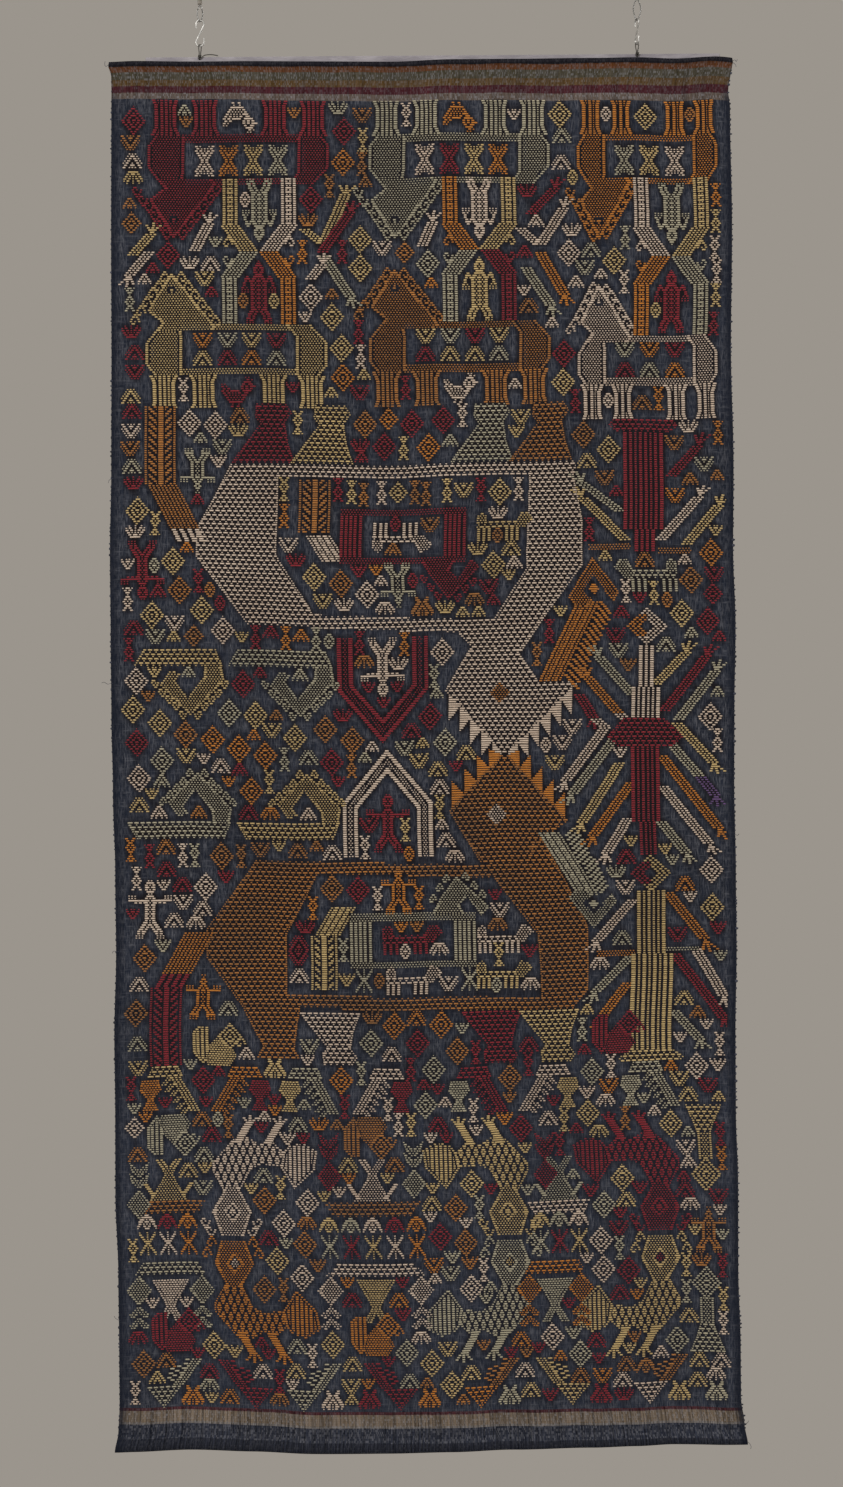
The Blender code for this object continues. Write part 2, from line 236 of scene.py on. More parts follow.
# Left halves of the even-sided motifs, up to the middle: a row for each pick, a mark for two warp ends
HALVES = """
sprig
...XX...
...XXX..
....XXX.
...XXX.X
..XXX.XX
.XXX.XX.
XXX.XX.X
XX.XXX.X
.X..XX.X

bud
....XX
...XX.
..XX.X
.XX.XX
XX.XX.
X..X..

spray
X....XX
XX..XX.
.XX.X.X
.XXX.XX
..XXX.X
...XXXX
.....XX

tuft
..X...X
X.XX..X
XX.XX.X
.XX.X.X
..XX.XX
...XXXX

leaf
...XX
..XX.
.XX.X
XX.XX
X..X.

twin
X....X
XX...X
.XX..X
..XX.X
...XXX
....XX
...XX.
..XX.X
.XX..X
XX...X
X....X

seed
..XX
.XX.
XX.X
X.XX
XX.X
.XX.
..XX

figure
XX.X...
.XX.X.X
XX.XX.X
.XX.XX.
..XX.XX
...XX.X
....XX.
....XX.
...XX.X
..XX.XX
.XX.XX.
XX.XX.X
.XX.X.X
XX.X...

fan
XX..X.X
.XX..XX
X.XX..X
.X.XX..
..X.XX.
...X.XX
....X.X

waist
X.XX
.XX.
..XX
...X
..XX
.XX.
XX.X
.XX.
..XX
.XX.
XX..

ancestor
..........X.
...........X
..........XX
.........XX.
..........XX
X.X.X....XX.
X.X.X...XX.X
XXXXXXXXX.XX
.......XX.X.
.......XX..X
.......XX.X.
.......XX..X
.......XX.X.
.......XX..X
.......XX.XX
......XX.XX.
.....XX.XX..
....XX.XX...
...XXXXXX...
...X.X.XX...
...X.X.X....

elder
.............X.
............XXX
...........XX.X
...........XXX.
...........XX.X
............XXX
.............X.
X.X.X.......XXX
X.X.X......XX.X
XXXXXXXXXXXXXX.
....XX.XX.XXX.X
...........XXX.
...........XX.X
...........XXX.
...........XX.X
...........XXX.
...........XX.X
...........XXX.
...........XX.X
..........XXX.X
.........XXX.XX
........XXX.XX.
.......XXX.XX..
......XX.XXX...
......XX.XX....
.....X.X.X.....
.....X.X.X.....

tall
...........X
..........XX
.........XXX
........XXX.
........XX.X
........XXX.
.........XXX
...XX...XXXX
..XXXX.XXX.X
..XX.XXXX.XX
.XX...XX.X.X
.XX...XXX.XX
XX.X..XX.X.X
X.X.X.XXX.XX
X.X.X.XX.X.X
......XXX.XX
......XX.X.X
......XXX.XX
......XX.X.X
......XXX.XX
......XX.X.X
......XXX.XX
......XXXX.X
.....XXX.XX.
....XXX.XX..
....XX.XX...
...XXX.XX...
...X.XXX....
...X.X.X....
"""

# Whole motifs: the duck has a mark for two warp ends, the curled hooks one for each
WHOLES = """
duck
................X.X....
.................XX.X..
...............XXXXX...
X.X...........XX..XXX..
XX.X.........XX.XX.XXXX
.XX.XX.......XX.XX.XX..
XX.XX.XXXXXX..XXXXXX...
.XX.XX.X.X.XX..XXX.....
..XX.X.X.X.X.XXXX......
...XX.X.X.X.X.XX.......
....XX.X.X.X.XX........
.....XXXXXXXXX.........
.......X...X...........
......XX..XX...........

hook
.....XXXX.....
...XXX.XXXX...
.XXX......XXX.
XXX...XX...XXX
.......XXXXX..

curl
...XXXX....
.XXX..XXX..
XXX.XX..XXX
.....XXXXX.
"""

MOTIFS = {}
for block in HALVES.strip().split("\n\n"):
    motif, rows = block.split(maxsplit=1)
    half = marks(rows)
    MOTIFS[motif] = np.repeat(np.hstack([half, half[:, -2::-1]]), ENDS_A_CELL, axis=1)
for block in WHOLES.strip().split("\n\n"):
    motif, rows = block.split(maxsplit=1)
    MOTIFS[motif] = np.repeat(marks(rows), ENDS_A_CELL if motif == "duck" else 1, axis=1)


def corners(points):
    """Corners as number pairs, also from text such as "0,8 34,13"."""
    if isinstance(points, str):
        points = [[float(value) for value in pair.split(",")] for pair in points.split()]
    return list(points)


def box(x0, y0, x1, y1):
    return [(x0, y0), (x1, y0), (x1, y1), (x0, y1)]


def filled(name, anchor):
    """Where a fill's repeat is lit, all over the chart."""
    repeat = FILLS[name]
    high, wide = repeat.shape
    return repeat[(PICK - anchor[1]) % high, (END - anchor[0]) % wide]


def narrowed(mask, ends):
    """The mask without this many ends at each side of each run."""
    left = np.zeros_like(mask)
    right = np.zeros_like(mask)
    left[:, ends:] = mask[:, :-ends]
    right[:, :-ends] = mask[:, ends:]
    return mask & left & right


def form(points, yarn, fill="solid", edge=0, gap=0, anchor=None):
    """Weaves an outline given in millimetres: a plain edge, a bare gap and a repeat inside."""
    points = corners(points)
    mask = np.zeros(CHART.shape, bool)
    for (x0, y0), (x1, y1) in zip(points, points[1:] + points[:1]):
        if y0 != y1:
            level_with = (y0 > DOWN) != (y1 > DOWN)
            mask ^= level_with & (ACROSS < (x1 - x0) * (DOWN - y0) / (y1 - y0) + x0)
    if anchor is None:
        left, top = (min(values) for values in zip(*points))
        anchor = (round(left / END_PITCH) + edge + gap, round(top / PICK_PITCH))
    inner = narrowed(mask, edge + gap) if edge + gap else mask
    lit = inner & filled(fill, anchor)
    if edge:
        lit |= mask & ~narrowed(mask, edge)
    CHART[mask] = 0
    CHART[lit] = yarn
    return mask


def stamp(name, x, y, yarn, flip_y=False, flip_x=False):
    """Weaves a small motif with its middle at this place, in millimetres, where the field holds it."""
    rows = MOTIFS[name][:: -1 if flip_y else 1, :: -1 if flip_x else 1]
    high, wide = rows.shape
    pick = round(y / PICK_PITCH - high / 2)
    end = round(x / END_PITCH - wide / 2)
    if pick >= 0 and end >= 0 and pick + high <= PICKS and end + wide <= ENDS:
        CHART[pick : pick + high, end : end + wide][rows] = yarn


RING_PITCH, RING_SHARE, BARE_RINGS = 3.7, 0.56, 3
RIM_FROM = 0.85


def diamond(x, y, width, height, yarn, style="rings"):
    """A lozenge: nested rings, three rings round a bare middle, or dots within a rim."""
    size = np.abs(ACROSS - x) / (width / 2) + np.abs(DOWN - y) / (height / 2)
    if style == "dots":
        lit = filled("laced", (round(x / END_PITCH), round(y / PICK_PITCH))) | (size > RIM_FROM)
    else:
        depth = (1 - size) * width / 2 / RING_PITCH
        lit = (depth % 1 < RING_SHARE) & ((style == "rings") | (depth < BARE_RINGS))
    CHART[size <= 1.0] = 0
    CHART[lit & (size <= 1.0)] = yarn


BAR_SIDES = 4


def bar(x0, y0, x1, y1, width, yarn, spacing=5.5, gap=2):
    """A slanting or upright bar between two places: level ends, and bare dotted lines along it."""
    if y1 < y0:
        x0, y0, x1, y1 = x1, y1, x0, y0
    wide = round(width / END_PITCH)
    count = max(0, round((wide - BAR_SIDES) / spacing))
    line = np.ones(wide, bool)
    for i in range(count):
        first = round(wide * (i + 1) / (count + 1) - gap / 2)
        line[first : first + gap] = False
    first_pick = max(0, round(y0 / PICK_PITCH))
    for pick in range(first_pick, min(PICKS, max(first_pick + 1, round(y1 / PICK_PITCH)))):
        share = min(1.0, max(0.0, ((pick + 0.5) * PICK_PITCH - y0) / max(y1 - y0, PICK_PITCH)))
        left = round((x0 + (x1 - x0) * share - width / 2) / END_PITCH)
        low, high = max(left, 0), min(left + wide, ENDS)
        if high > low:
            CHART[pick, low:high] = np.where(line[low - left : high - left], yarn, 0)


class Figure:
    """A figure's own frame in the field, in millimetres, which can be turned over and stretched."""

    def __init__(self, x, y, size=(0.0, 0.0), flip_x=False, flip_y=False, scale=(1.0, 1.0)):
        self.corner = (x, y)
        self.size = size
        self.flip_x = flip_x
        self.flip_y = flip_y
        self.scale = scale

    def place(self, x, y):
        x = self.size[0] - x if self.flip_x else x
        y = self.size[1] - y if self.flip_y else y
        return self.corner[0] + x * self.scale[0], self.corner[1] + y * self.scale[1]

    def form(self, points, yarn, fill="solid", edge=0, gap=0):
        form([self.place(*point) for point in corners(points)], yarn, fill, edge, gap)

    def bar(self, ends, width, yarn):
        (x0, y0), (x1, y1) = (self.place(*point) for point in corners(ends))
        bar(x0, y0, x1, y1, width, yarn)

    def stamp(self, name, x, y, yarn, right=True, over=False):
        stamp(name, *self.place(x, y), yarn, self.flip_y != over, right == self.flip_x)

    def row(self, name, x, y, step_x, step_y, count, yarn, right=True):
        """A motif again and again along a slant."""
        for i in range(count):
            self.stamp(name, x + step_x * i, y + step_y * i, yarn, right)

    def diamond(self, x, y, width, height, yarn, style="rings"):
        diamond(*self.place(x, y), width, height, yarn, style)


TOES = ((-5.5, 6.5), (0.0, 8.0), (5.5, 6.5))
TOE_WIDTH = 2.4


def toes(x, y, yarn, away=1, lean=0.0):
    """Three spread toes at a bar's end."""
    for slant, reach in TOES:
        bar(x, y, x + lean + slant, y + away * reach, TOE_WIDTH, yarn)


def post(x, y0, y1, yarn, width=20):
    """An upright post: plain edges, bare lines and a dotted braid."""
    half = width * END_PITCH / 2
    anchor = (round(x / END_PITCH) - 4, round(y0 / PICK_PITCH))
    form(box(x - half, y0, x + half, y1), yarn, "braid", 4, 2, anchor)


BEAST_SIZE = (138.0, 106.0)
BEAST_BODY = (
    (0, 0, "28,43 110,43 110,48 28,48"),
    (0, 0, "28,75 114,75 114,81 28,81"),
    (4, 2, "10,47 29,47 30,55 30,80 9,80 3,72 3,56"),
    (4, 2, "106,43 124,43 136,56 136,73 130,80 113,80 113,52"),
    (4, 0, "22,3 54,45 50,48 9,48 15,41 4,32"),
)
BEAST_LEG = "-11,80 11,80 8,86 8,101 10,106 -10,106 -8,101 -8,86"
BEAST_LEGS = (16.0, 45.0, 96.0, 124.0)
BEAST_ROOM = 72.0


def beast(x, y, yarn, figures, name, flip_y, scale, bird):
    """A frame-bodied beast on four legs, with figures in its body and a bird between its legs."""
    own = Figure(x, y, BEAST_SIZE, False, flip_y, scale)
    for edge, gap, outline in BEAST_BODY:
        own.form(outline, yarn, "laced", edge, gap)
    for leg in BEAST_LEGS:
        own.form([(leg + px, py) for px, py in corners(BEAST_LEG)], yarn, "pins", 5, 2)
    own.row("hook", 29.0, 7.0, 4.95, 6.4, 6, yarn)
    own.row("hook", 17.0, 6.0, -4.36, 6.4, 6, yarn, right=False)
    eye_x, eye_y = own.place(22, 17)
    form(box(eye_x - 3, eye_y - 2.4, eye_x + 3, eye_y + 2.4), 0)
    diamond(eye_x, eye_y, 3.6, 3.4, yarn)
    if bird:
        own.stamp("duck", 70.5, 93.5, bird)
    step = BEAST_ROOM / len(figures)
    for i, other in enumerate(figures):
        px = 71.5 + (i - (len(figures) - 1) / 2) * step
        if name == "figure":
            own.stamp(name, px, 61.5, other)
        else:
            own.stamp(name, px, 54.5, other)
            own.stamp(name, px, 68.0, figures[(i + 2) % len(figures)], over=True)


def limb(yarns, route, width=8.4):
    """Slanting bars from place to place, each with its own yarn, that end in three toes."""
    points = corners(route)
    for i, (start, end) in enumerate(zip(points, points[1:])):
        yarn = yarns[i % len(yarns)]
        bar(*start, *end, width, yarn)
    toes(*end, yarn, 1 if end[1] > start[1] else -1, (end[0] - start[0]) * 0.12)


def hourglass(x, y, height, yarns, figures, half=21.5):
    """Two posts that meet in the middle and part again, with a figure above and one below."""
    up, down = height * 0.32, height * 0.68
    middle = height / 2
    for side, above, below in ((-1, yarns[0], yarns[2]), (1, yarns[1], yarns[3])):
        far, near = x + side * half, x + side * 7
        post(far, y, y + up, above)
        bar(far, y + up, near, y + middle, 14.0, above)
        bar(near, y + middle, far, y + down, 14.0, below)
        post(far, y + down, y + height, below)
        stamp("hook", x + side * (half + 1), y + (middle - 7), above, False, side < 0)
        stamp("hook", x + side * (half + 1), y + (middle + 7), below, True, side < 0)
    stamp("tall", x, y + up * 0.5 + 7, figures[0], True)
    stamp("tall", x, y + height - up * 0.5 - 7, figures[1])


def flask(x, y, yarn, flip_y=False, scale=(1.0, 1.0)):
    """A flask with one slanting side."""
    own = Figure(x, y, (48.0, 42.0), False, flip_y, scale)
    own.form("18,0 40,0 44,6 39,13 41,26 46,42 0,42 21,14 17,9", yarn, "triangles", 2)


BARB_PITCH, BARB_WIDTH, BARB_SLANT = 3.4, 1.85, 3.0


def herring(x, y0, y1, yarn, width=23.0):
    """An upright with a plain spine and rim, and barbs that slant down to the spine."""
    mask = form(box(x - width / 2, y0, x + width / 2, y1), yarn)
    away = np.abs(END - round(x / END_PITCH))
    barbs = (PICK + away / BARB_SLANT) % BARB_PITCH < BARB_WIDTH
    inner = narrowed(mask, 3) & (away > 3)
    CHART[inner & (~barbs | (away <= 5) | ~narrowed(mask, 5))] = 0


def slats(x0, y0, x1, y1, yarns, count=4, pitch=5.6):
    """Parallel slanting dotted lines, in one yarn but for their last part in another."""
    share = 1.0 if len(yarns) == 1 else 0.76
    xm, ym = x0 + (x1 - x0) * share, y0 + (y1 - y0) * share
    for i in range(count):
        shift = (i - (count - 1) / 2) * pitch
        bar(x0 + shift, y0, xm + shift, ym, 4.6, yarns[0])
        if len(yarns) > 1:
            bar(xm + shift, ym, x1 + shift, y1, 3.4, yarns[1])


HUNG_LOOP = (
    "82,262 116,262 116,328 141,368 141,379 95,380 57,330 57,310",
    "300,262 330,262 339,308 339,338 314,370 293,400 261,400 247,386 272,377 298,340",
    "84,262 334,262 334,272 84,272",
    "120,369 280,377 280,387 120,379",
    "256,396 290,399 304,420 334,424 284,474 279,474 237,428",
)
HUNG_CREST = ("240,431 280,474", "330,428 283,474")
STANDING_LOOP = (
    "98,549 143,553 143,558 120,603 120,646 130,656 126,686 130,693 98,693 103,684 88,656 61,620 61,600",
    "270,552 306,532 324,567 340,600 340,646 328,660 306,650 303,604 272,564",
    "100,548 272,554 272,563 100,557",
    "118,646 330,650 330,660 118,656",
    "280,475 283,475 327,523 302,540 296,556 262,552 257,543 240,514",
)
STANDING_CREST = ("242,512 279,475", "325,521 284,475")
CREST_MEETING = 474.0
CREST_REACH = 19.0
TOOTH_WIDTH = 8.4
TOOTH_ROOT = 3
RIMMED_FROM = 26


def loop_beast(outlines, crest, yarn, tooth, fill, eye, eye_x, eye_y):
    """A large beast whose body is a ring, with upright saw teeth round its head."""
    away = 1 if eye_y < CREST_MEETING else -1
    for (x0, y0), (x1, y1) in map(corners, crest):
        count = round(abs(x1 - x0) / TOOTH_WIDTH)
        for i in range(count):
            ax, ay = x0 + (x1 - x0) * i / count, y0 + (y1 - y0) * i / count
            bx, by = x0 + (x1 - x0) * (i + 1) / count, y0 + (y1 - y0) * (i + 1) / count
            root = TOOTH_ROOT * away
            tip = (ax, ay + away * min(CREST_REACH, abs(CREST_MEETING + root - ay)))
            form([(ax, ay - root), (bx, by - root), (bx, by), tip], tooth)
    for outline in outlines:
        levels = [y for _, y in corners(outline)]
        form(outline, yarn, fill, 2 if max(levels) - min(levels) > RIMMED_FROM else 0, anchor=(0, 0))
    diamond(eye_x, eye_y, 15, 15, eye, "dots")


def hound(x, y, yarn, flip_x=False, flip_y=False, scale=(1.0, 1.0)):
    """A long-bodied animal on thin legs, with its head held up."""
    own = Figure(x, y, (42.0, 22.0), flip_x, flip_y, scale)
    own.form("0,8 34,8 34,13 0,13", yarn, "triangles")
    own.form("0,3 4,0 7,3 7,9 0,9", yarn, "laced", 2)
    own.form("28,10 33,0 38,1 42,6 38,9 35,13 30,13", yarn, "laced", 2)
    for leg in (1.5, 5.5, 9.5, 22.0, 26.0, 30.0):
        own.bar([(leg, 13), (leg, 22)], 2.0, yarn)


def frame_beast(x, y, yarn, inner, flip_y=False):
    """A small beast with a hollow body, a hooked head at its right and an animal in it."""
    own = Figure(x, y, (112.0, 68.0), flip_y=flip_y)
    own.form("0,30 16,30 16,68 0,68", yarn, "pins", 4, 2)
    own.form("76,30 92,30 92,68 76,68", yarn, "pins", 4, 2)
    own.form("0,28 92,28 92,33 0,33", yarn, "laced")
    own.form("0,63 92,63 92,68 0,68", yarn, "laced")
    own.form("60,29 66,18 78,1 102,24 96,30 86,16 80,22 84,29", yarn, "laced", 3)
    own.row("curl", 61, 17, 5, -7, 3, yarn, right=False)
    own.row("curl", 85, 2, 6, 6, 3, yarn)
    inner_x, inner_y = own.place(24, 36)
    hound(inner_x, inner_y - (22 if flip_y else 0), inner, False, flip_y, (1.05, 1.0))


def naga(x, y, yarn, flip_y=False, body=76.0):
    """A long level body with a hooked, pointed neck and head at its right."""
    own = Figure(x, y, (body, 48.0), flip_y=flip_y)
    own.form([(0, 36), (body, 36), (body - 5, 48), (7, 48)], yarn, "triangles", 2)
    neck = corners("-24,0 1,26 -1,37 -13,37 -14,28 -26,13 -35,25 -31,30 -38,33 -46,22")
    own.form([(body + px, py) for px, py in neck], yarn, "laced", 3)
    own.row("curl", body - 18.5, 1, 5.0, 5.2, 5, yarn)
    own.row("curl", body - 29.5, 1, -5.0, 5.2, 5, yarn, right=False)


def trunk(x, y0, y1, yarn, width):
    """An upright of plain stripes."""
    bar(x, y0, x, y1, width, yarn, spacing=7.0, gap=3)


def spread(x, y, yarn, half, height=10.0, flip_y=False):
    """A cap or foot that widens to one side."""
    own = Figure(x, y, (0.0, 1.0), False, flip_y, (half, height))
    own.form("-1,0 1,0 1.5,0.6 1.3,1 -1.3,1 -1.5,0.6", yarn, "triangles", 2)


def fork(x, y, yarn, other):
    """A lozenge of nested rings with a bare eye, partly in another yarn."""
    diamond(x, y, 30, 27, yarn, "bare")
    picks = slice(round((y - 8) / PICK_PITCH), round((y + 8) / PICK_PITCH))
    ends = slice(round((x - 16) / END_PITCH), round(x / END_PITCH))
    near = CHART[picks, ends]
    near[near == yarn] = other


def comb(x, y, yarn, flip_y=False, scale=(1.0, 1.0)):
    """A slanting band of dotted lines with barbs on one side and a pointed head."""
    own = Figure(x, y, (64.0, 90.0), False, flip_y, scale)
    for shift in (0.0, 5.6, 11.2):
        own.bar([(2 + shift, 90), (30 + shift, 32)], 5.2, yarn)
    for i in range(15):
        own.bar([(19 + i * 1.8, 86 - i * 3.8), (28 + i * 1.7, 96 - i * 3.8)], 2.8, yarn)
    own.form("40,1 58,26 54,33 46,24 33,38 26,36 21,30", yarn, "laced", 3, 1)
    own.form("40,14 47,23 40,33 32,25", 0)
    own.form("40,19 44,24 40,28 36,24", yarn)


def roof(x, y, yarn, other, flip_x=False):
    """A slanting roof with a barbed side and a small vase under it."""
    own = Figure(x, y, (46.0, 32.0), flip_x)
    own.form("12,0 30,0 34,8 8,8", yarn, "triangles", 2)
    own.bar("28,8 43,34", 7.0, yarn)
    for i in range(6):
        own.bar([(24 + i * 2.6, 9 + i * 4.4), (19 + i * 2.8, 15 + i * 4.2)], 4.0, yarn)
    own.form("4,10 16,10 18,17 12,24 16,32 4,32 8,24 2,17", other, "checker", 2)


def totem(x, y, yarn):
    """Chevrons over a lozenge."""
    own = Figure(x, y)
    own.form("1,0 8.5,6 16,0 14,7 8.5,12 3,7", yarn, "laced", 2)
    own.form("1,8 8.5,14 16,8 14,15 8.5,20 3,15", yarn, "laced", 2)
    own.diamond(8.5, 31, 18, 22, yarn, "dots")


def goblet(x, y, yarn, flip_y=False):
    """A wide rim, a narrow dotted stem and a lozenge."""
    own = Figure(x, y, (0.0, 62.0), flip_y=flip_y)
    own.form("-13,0 13,0 7,14 5,20 -5,20 -7,14", yarn, "triangles", 2)
    own.form("-5,20 5,20 5,40 -5,40", yarn, "laced", 3, 1)
    own.diamond(0, 50, 22, 25, yarn)


def bowl(x, y, width, yarn, load):
    """A shallow bowl that carries a waisted figure with raised arms."""
    half = width / 2
    own = Figure(x, y)
    own.form([(-half, 0), (half, 0), (half * 0.8, 10), (-half * 0.8, 10)], yarn, "triangles")
    own.form("-14,0 -5,-15 -3,-20 -10,-31 -5,-31 0,-24 5,-31 10,-31 3,-20 5,-15 14,0", load, "laced", 2)
    own.bar("-10,-3 -17,-13", 3.2, load)
    own.bar("10,-3 17,-13", 3.2, load)


def dome(x, y, width, yarn, load):
    """A long arch whose two feet are lozenge stacks, with a waisted figure under it."""
    half = width / 2
    own = Figure(x, y)
    own.form([(-half * 0.75, 0), (half * 0.75, 0), (half, 10), (-half, 10)], yarn, "triangles")
    for foot in (4 - half, half - 4):
        own.diamond(foot, 20, 19, 22, yarn, "dots")
        for drop in (31.0, 39.0):
            peak = corners("-8,7 0,0 8,7 4,9 0,5 -4,9")
            own.form([(foot + px, drop + py) for px, py in peak], yarn, "laced", 2)
    own.form("-14,12 14,12 6,26 3,32 10,44 4,44 0,36 -4,44 -10,44 -3,32 -6,26", load, "checker", 3, 1)


def arch(x, y, width, height, yarn, flip_y=False):
    """A pointed arch of plain and dotted lines on two posts."""
    half = width / 2
    own = Figure(x, y, (0.0, height), flip_y=flip_y)
    for depth, fill in ((0.0, "solid"), (4.2, "laced"), (8.4, "solid")):
        outline = []
        for inset in (depth, depth + 3.0):
            wall = half - inset
            side = [(wall, height), (wall, height * 0.5 + inset * 0.35), (0, inset * 1.55)]
            side += [(-px, py) for px, py in side[1::-1]]
            outline += side if inset == depth else side[::-1]
        own.form(outline, yarn, fill)


def small_bird(x, y, yarn, flip_y=False):
    """A bird with a striped tail, a checked body and a hooked lozenge head."""
    own = Figure(x, y, (46.0, 38.0), False, flip_y, (0.88, 0.84))
    own.form("2,8 8,2 15,2 15,30 10,36 2,26", yarn, "pins", 4, 1)
    own.form("15,20 26,8 34,20 38,28 32,37 14,37 12,30", yarn, "checker", 2, 1)
    own.diamond(33, 11, 18, 20, yarn)
    own.stamp("hook", 42, 15, yarn, right=False)


def crested_bird(x, y, yarn, eye, flip_x, flip_y):
    """A tall bird: a hooked lozenge head, a scaled body, a striped tail and two legs."""
    own = Figure(x, y, (88.0, 88.0), flip_x, flip_y)
    own.form("14,33 26,33 34,49 42,53 56,51 61,60 50,70 41,67 31,73 22,71 6,53 6,47", yarn, "scales", 2)
    own.form("56,51 66,36 81,51 83,64 72,70 62,67 58,62", yarn, "pins", 3, 2)
    own.form("12,1 29,1 35,18 25,36 16,36 6,18", yarn, "laced", 3)
    own.form("6,17 9,14 10,22 18,36 16,36 6,18", yarn)
    own.diamond(21, 18, 13, 15, yarn)
    if eye != yarn:
        own.diamond(21, 18, 6, 7, eye, "dots")
    for px, py in corners("5,3 1,10 35,3 39,10"):
        own.stamp("hook", px, py, yarn, right=px > 20)
    away = -1 if flip_y else 1
    for px in (24, 46):
        (x0, y0), (x1, y1) = own.place(px, 67), own.place(px + 10, 84)
        form([(x0 - 3, y0), (x0 + 3, y0), (x1 + 3, y1), (x1 - 3, y1)], yarn)
        toes(x1, y1 - 3 * away, yarn, away)


def cup(x, y, yarn, arm, flip_x=False):
    """A pointed cup with one slanting barbed arm."""
    own = Figure(x, y, (41.0, 35.0), flip_x)
    own.form("0,19 26,19 13,35", yarn, "triangles", 2)
    own.form("19,19 27,19 41,0 34,0", arm, "laced", 3)
    for i in range(6):
        own.bar([(21 + i * 2.6, 16.5 - i * 2.9), (14 + i * 2.6, 12 - i * 2.4)], 3.2, arm)


def free(x, y, width, height, margin):
    """Whether the ground here is bare, with a margin round it."""
    first_pick = max(0, round((y - height / 2 - margin) / PICK_PITCH))
    last_pick = min(PICKS, round((y + height / 2 + margin) / PICK_PITCH))
    first_end = max(0, round((x - width / 2 - margin) / END_PITCH))
    last_end = min(ENDS, round((x + width / 2 + margin) / END_PITCH))
    return not CHART[first_pick:last_pick, first_end:last_end].any()


# Small motifs for the bare ground, the larger ones first: name, width, height and share kept
SMALLS = (
    ("rings", 18.2, 20.6, 0.28),
    ("fan", 14.5, 11.2, 0.3),
    ("sprig", 16.5, 14.4, 0.15),
    ("rings", 14.8, 16.2, 0.5),
    ("waist", 7.8, 17.6, 0.5),
    ("tuft", 14.3, 9.6, 0.8),
    ("spray", 14.3, 11.2, 0.8),
    ("bud", 12.1, 9.6, 0.8),
    ("rings", 11.2, 12.8, 0.6),
    ("tuft", 14.3, 9.6, 0.9),
    ("leaf", 9.9, 8.0, 0.9),
    ("seed", 7.8, 11.2, 0.7),
    ("leaf", 9.9, 8.0, 1.0),
)
SCATTER_SEED = 5
LOW_ZONE = 700.0
MARGIN_ABOVE, MARGIN_IN_LOW_ZONE = 0.9, 0.2
MIDDLE_LEVEL = 480.0
TURNED_ABOVE, TURNED_BELOW = 0.35, 0.8
SMALL_GAP = 1.6
SEARCH_STEP = 1.3
START_SPREAD = 6
SKIPPED_SHARE = 0.8


def scatter():
    """Fills the bare ground with small motifs, whose number, yarn and turn are drawn by chance."""
    draw = np.random.default_rng(SCATTER_SEED)
    for name, width, height, odds in SMALLS:
        y = height / 2 + 0.5
        while y < FIELD_HEIGHT - height / 2 - 2:
            x = width / 2 + 1.0 + draw.random() * START_SPREAD
            while x < FIELD_WIDTH - width / 2 - 1:
                if not free(x, y, width, height, MARGIN_ABOVE if y < LOW_ZONE else MARGIN_IN_LOW_ZONE):
                    x += SEARCH_STEP
                    continue
                yarn = int(draw.choice(SCATTER_YARNS))
                turned = draw.random() < (TURNED_ABOVE if y < MIDDLE_LEVEL else TURNED_BELOW)
                if draw.random() > odds:
                    x += width * SKIPPED_SHARE
                    continue
                if name == "rings":
                    diamond(x, y, width, height, yarn)
                else:
                    stamp(name, x, y, yarn, turned)
                x += width + SMALL_GAP
            y += PICK_PITCH


# Slanting limbs of the upper and right zones: their yarns, and their route in millimetres
LIMBS = (
    (YELLOW, "134,92 150,104 166,68"),
    (RED, "136,108 150,109 170,80"),
    (GREEN, "150,112 170,142"),
    (CREAM, "140,130 150,118"),
    (CREAM, "292,92 308,106 326,78"),
    (RED, "300,84 320,64"),
    (ORANGE, "308,110 326,142"),
    (GREEN, "298,122 316,150"),
    (YELLOW, "10,112 24,96"),
    (CREAM, "24,108 8,126"),
    (CREAM, "56,108 66,88"),
    (CREAM, "222,106 230,88"),
    # Round the first trunk
    (GREEN, "367,301 338,279"),
    (YELLOW, "371,322 338,289"),
    (CREAM, "395,322 424,289"),
    (YELLOW, "414,325 438,296"),
    (RED, "402,276 424,252"),
    # Round the forked stem
    (GREEN, "374,433 349,405"),
    (CREAM, ORANGE, "371,452 364,446 341,420"),
    (YELLOW, "391,425 413,402"),
    (RED, "398,444 428,405"),
    (GREEN, "407,452 435,416"),
    # Round the second trunk
    (RED, "335,432 346,449"),
    (CREAM, "346,449 355,456 325,495"),
    (GREEN, "362,464 330,504"),
    (YELLOW, "366,481 337,525"),
    (ORANGE, "374,496 345,534"),
    (CREAM, "371,522 354,547"),
    (YELLOW, "407,453 434,483"),
    (GREEN, VIOLET, "402,467 423,492 435,507"),
    (ORANGE, "396,477 437,531"),
    (CREAM, "397,500 430,543"),
    (GREEN, "394,524 413,549"),
    # Round the third trunk
    (CREAM, "373,581 346,611"),
    (GREEN, "372,622 345,648"),
    (ORANGE, "369,642 350,667"),
    (ORANGE, "398,576 426,612"),
    (RED, "402,620 440,668"),
    (CREAM, "418,617 440,653"),
    (GREEN, "403,662 423,684"),
)


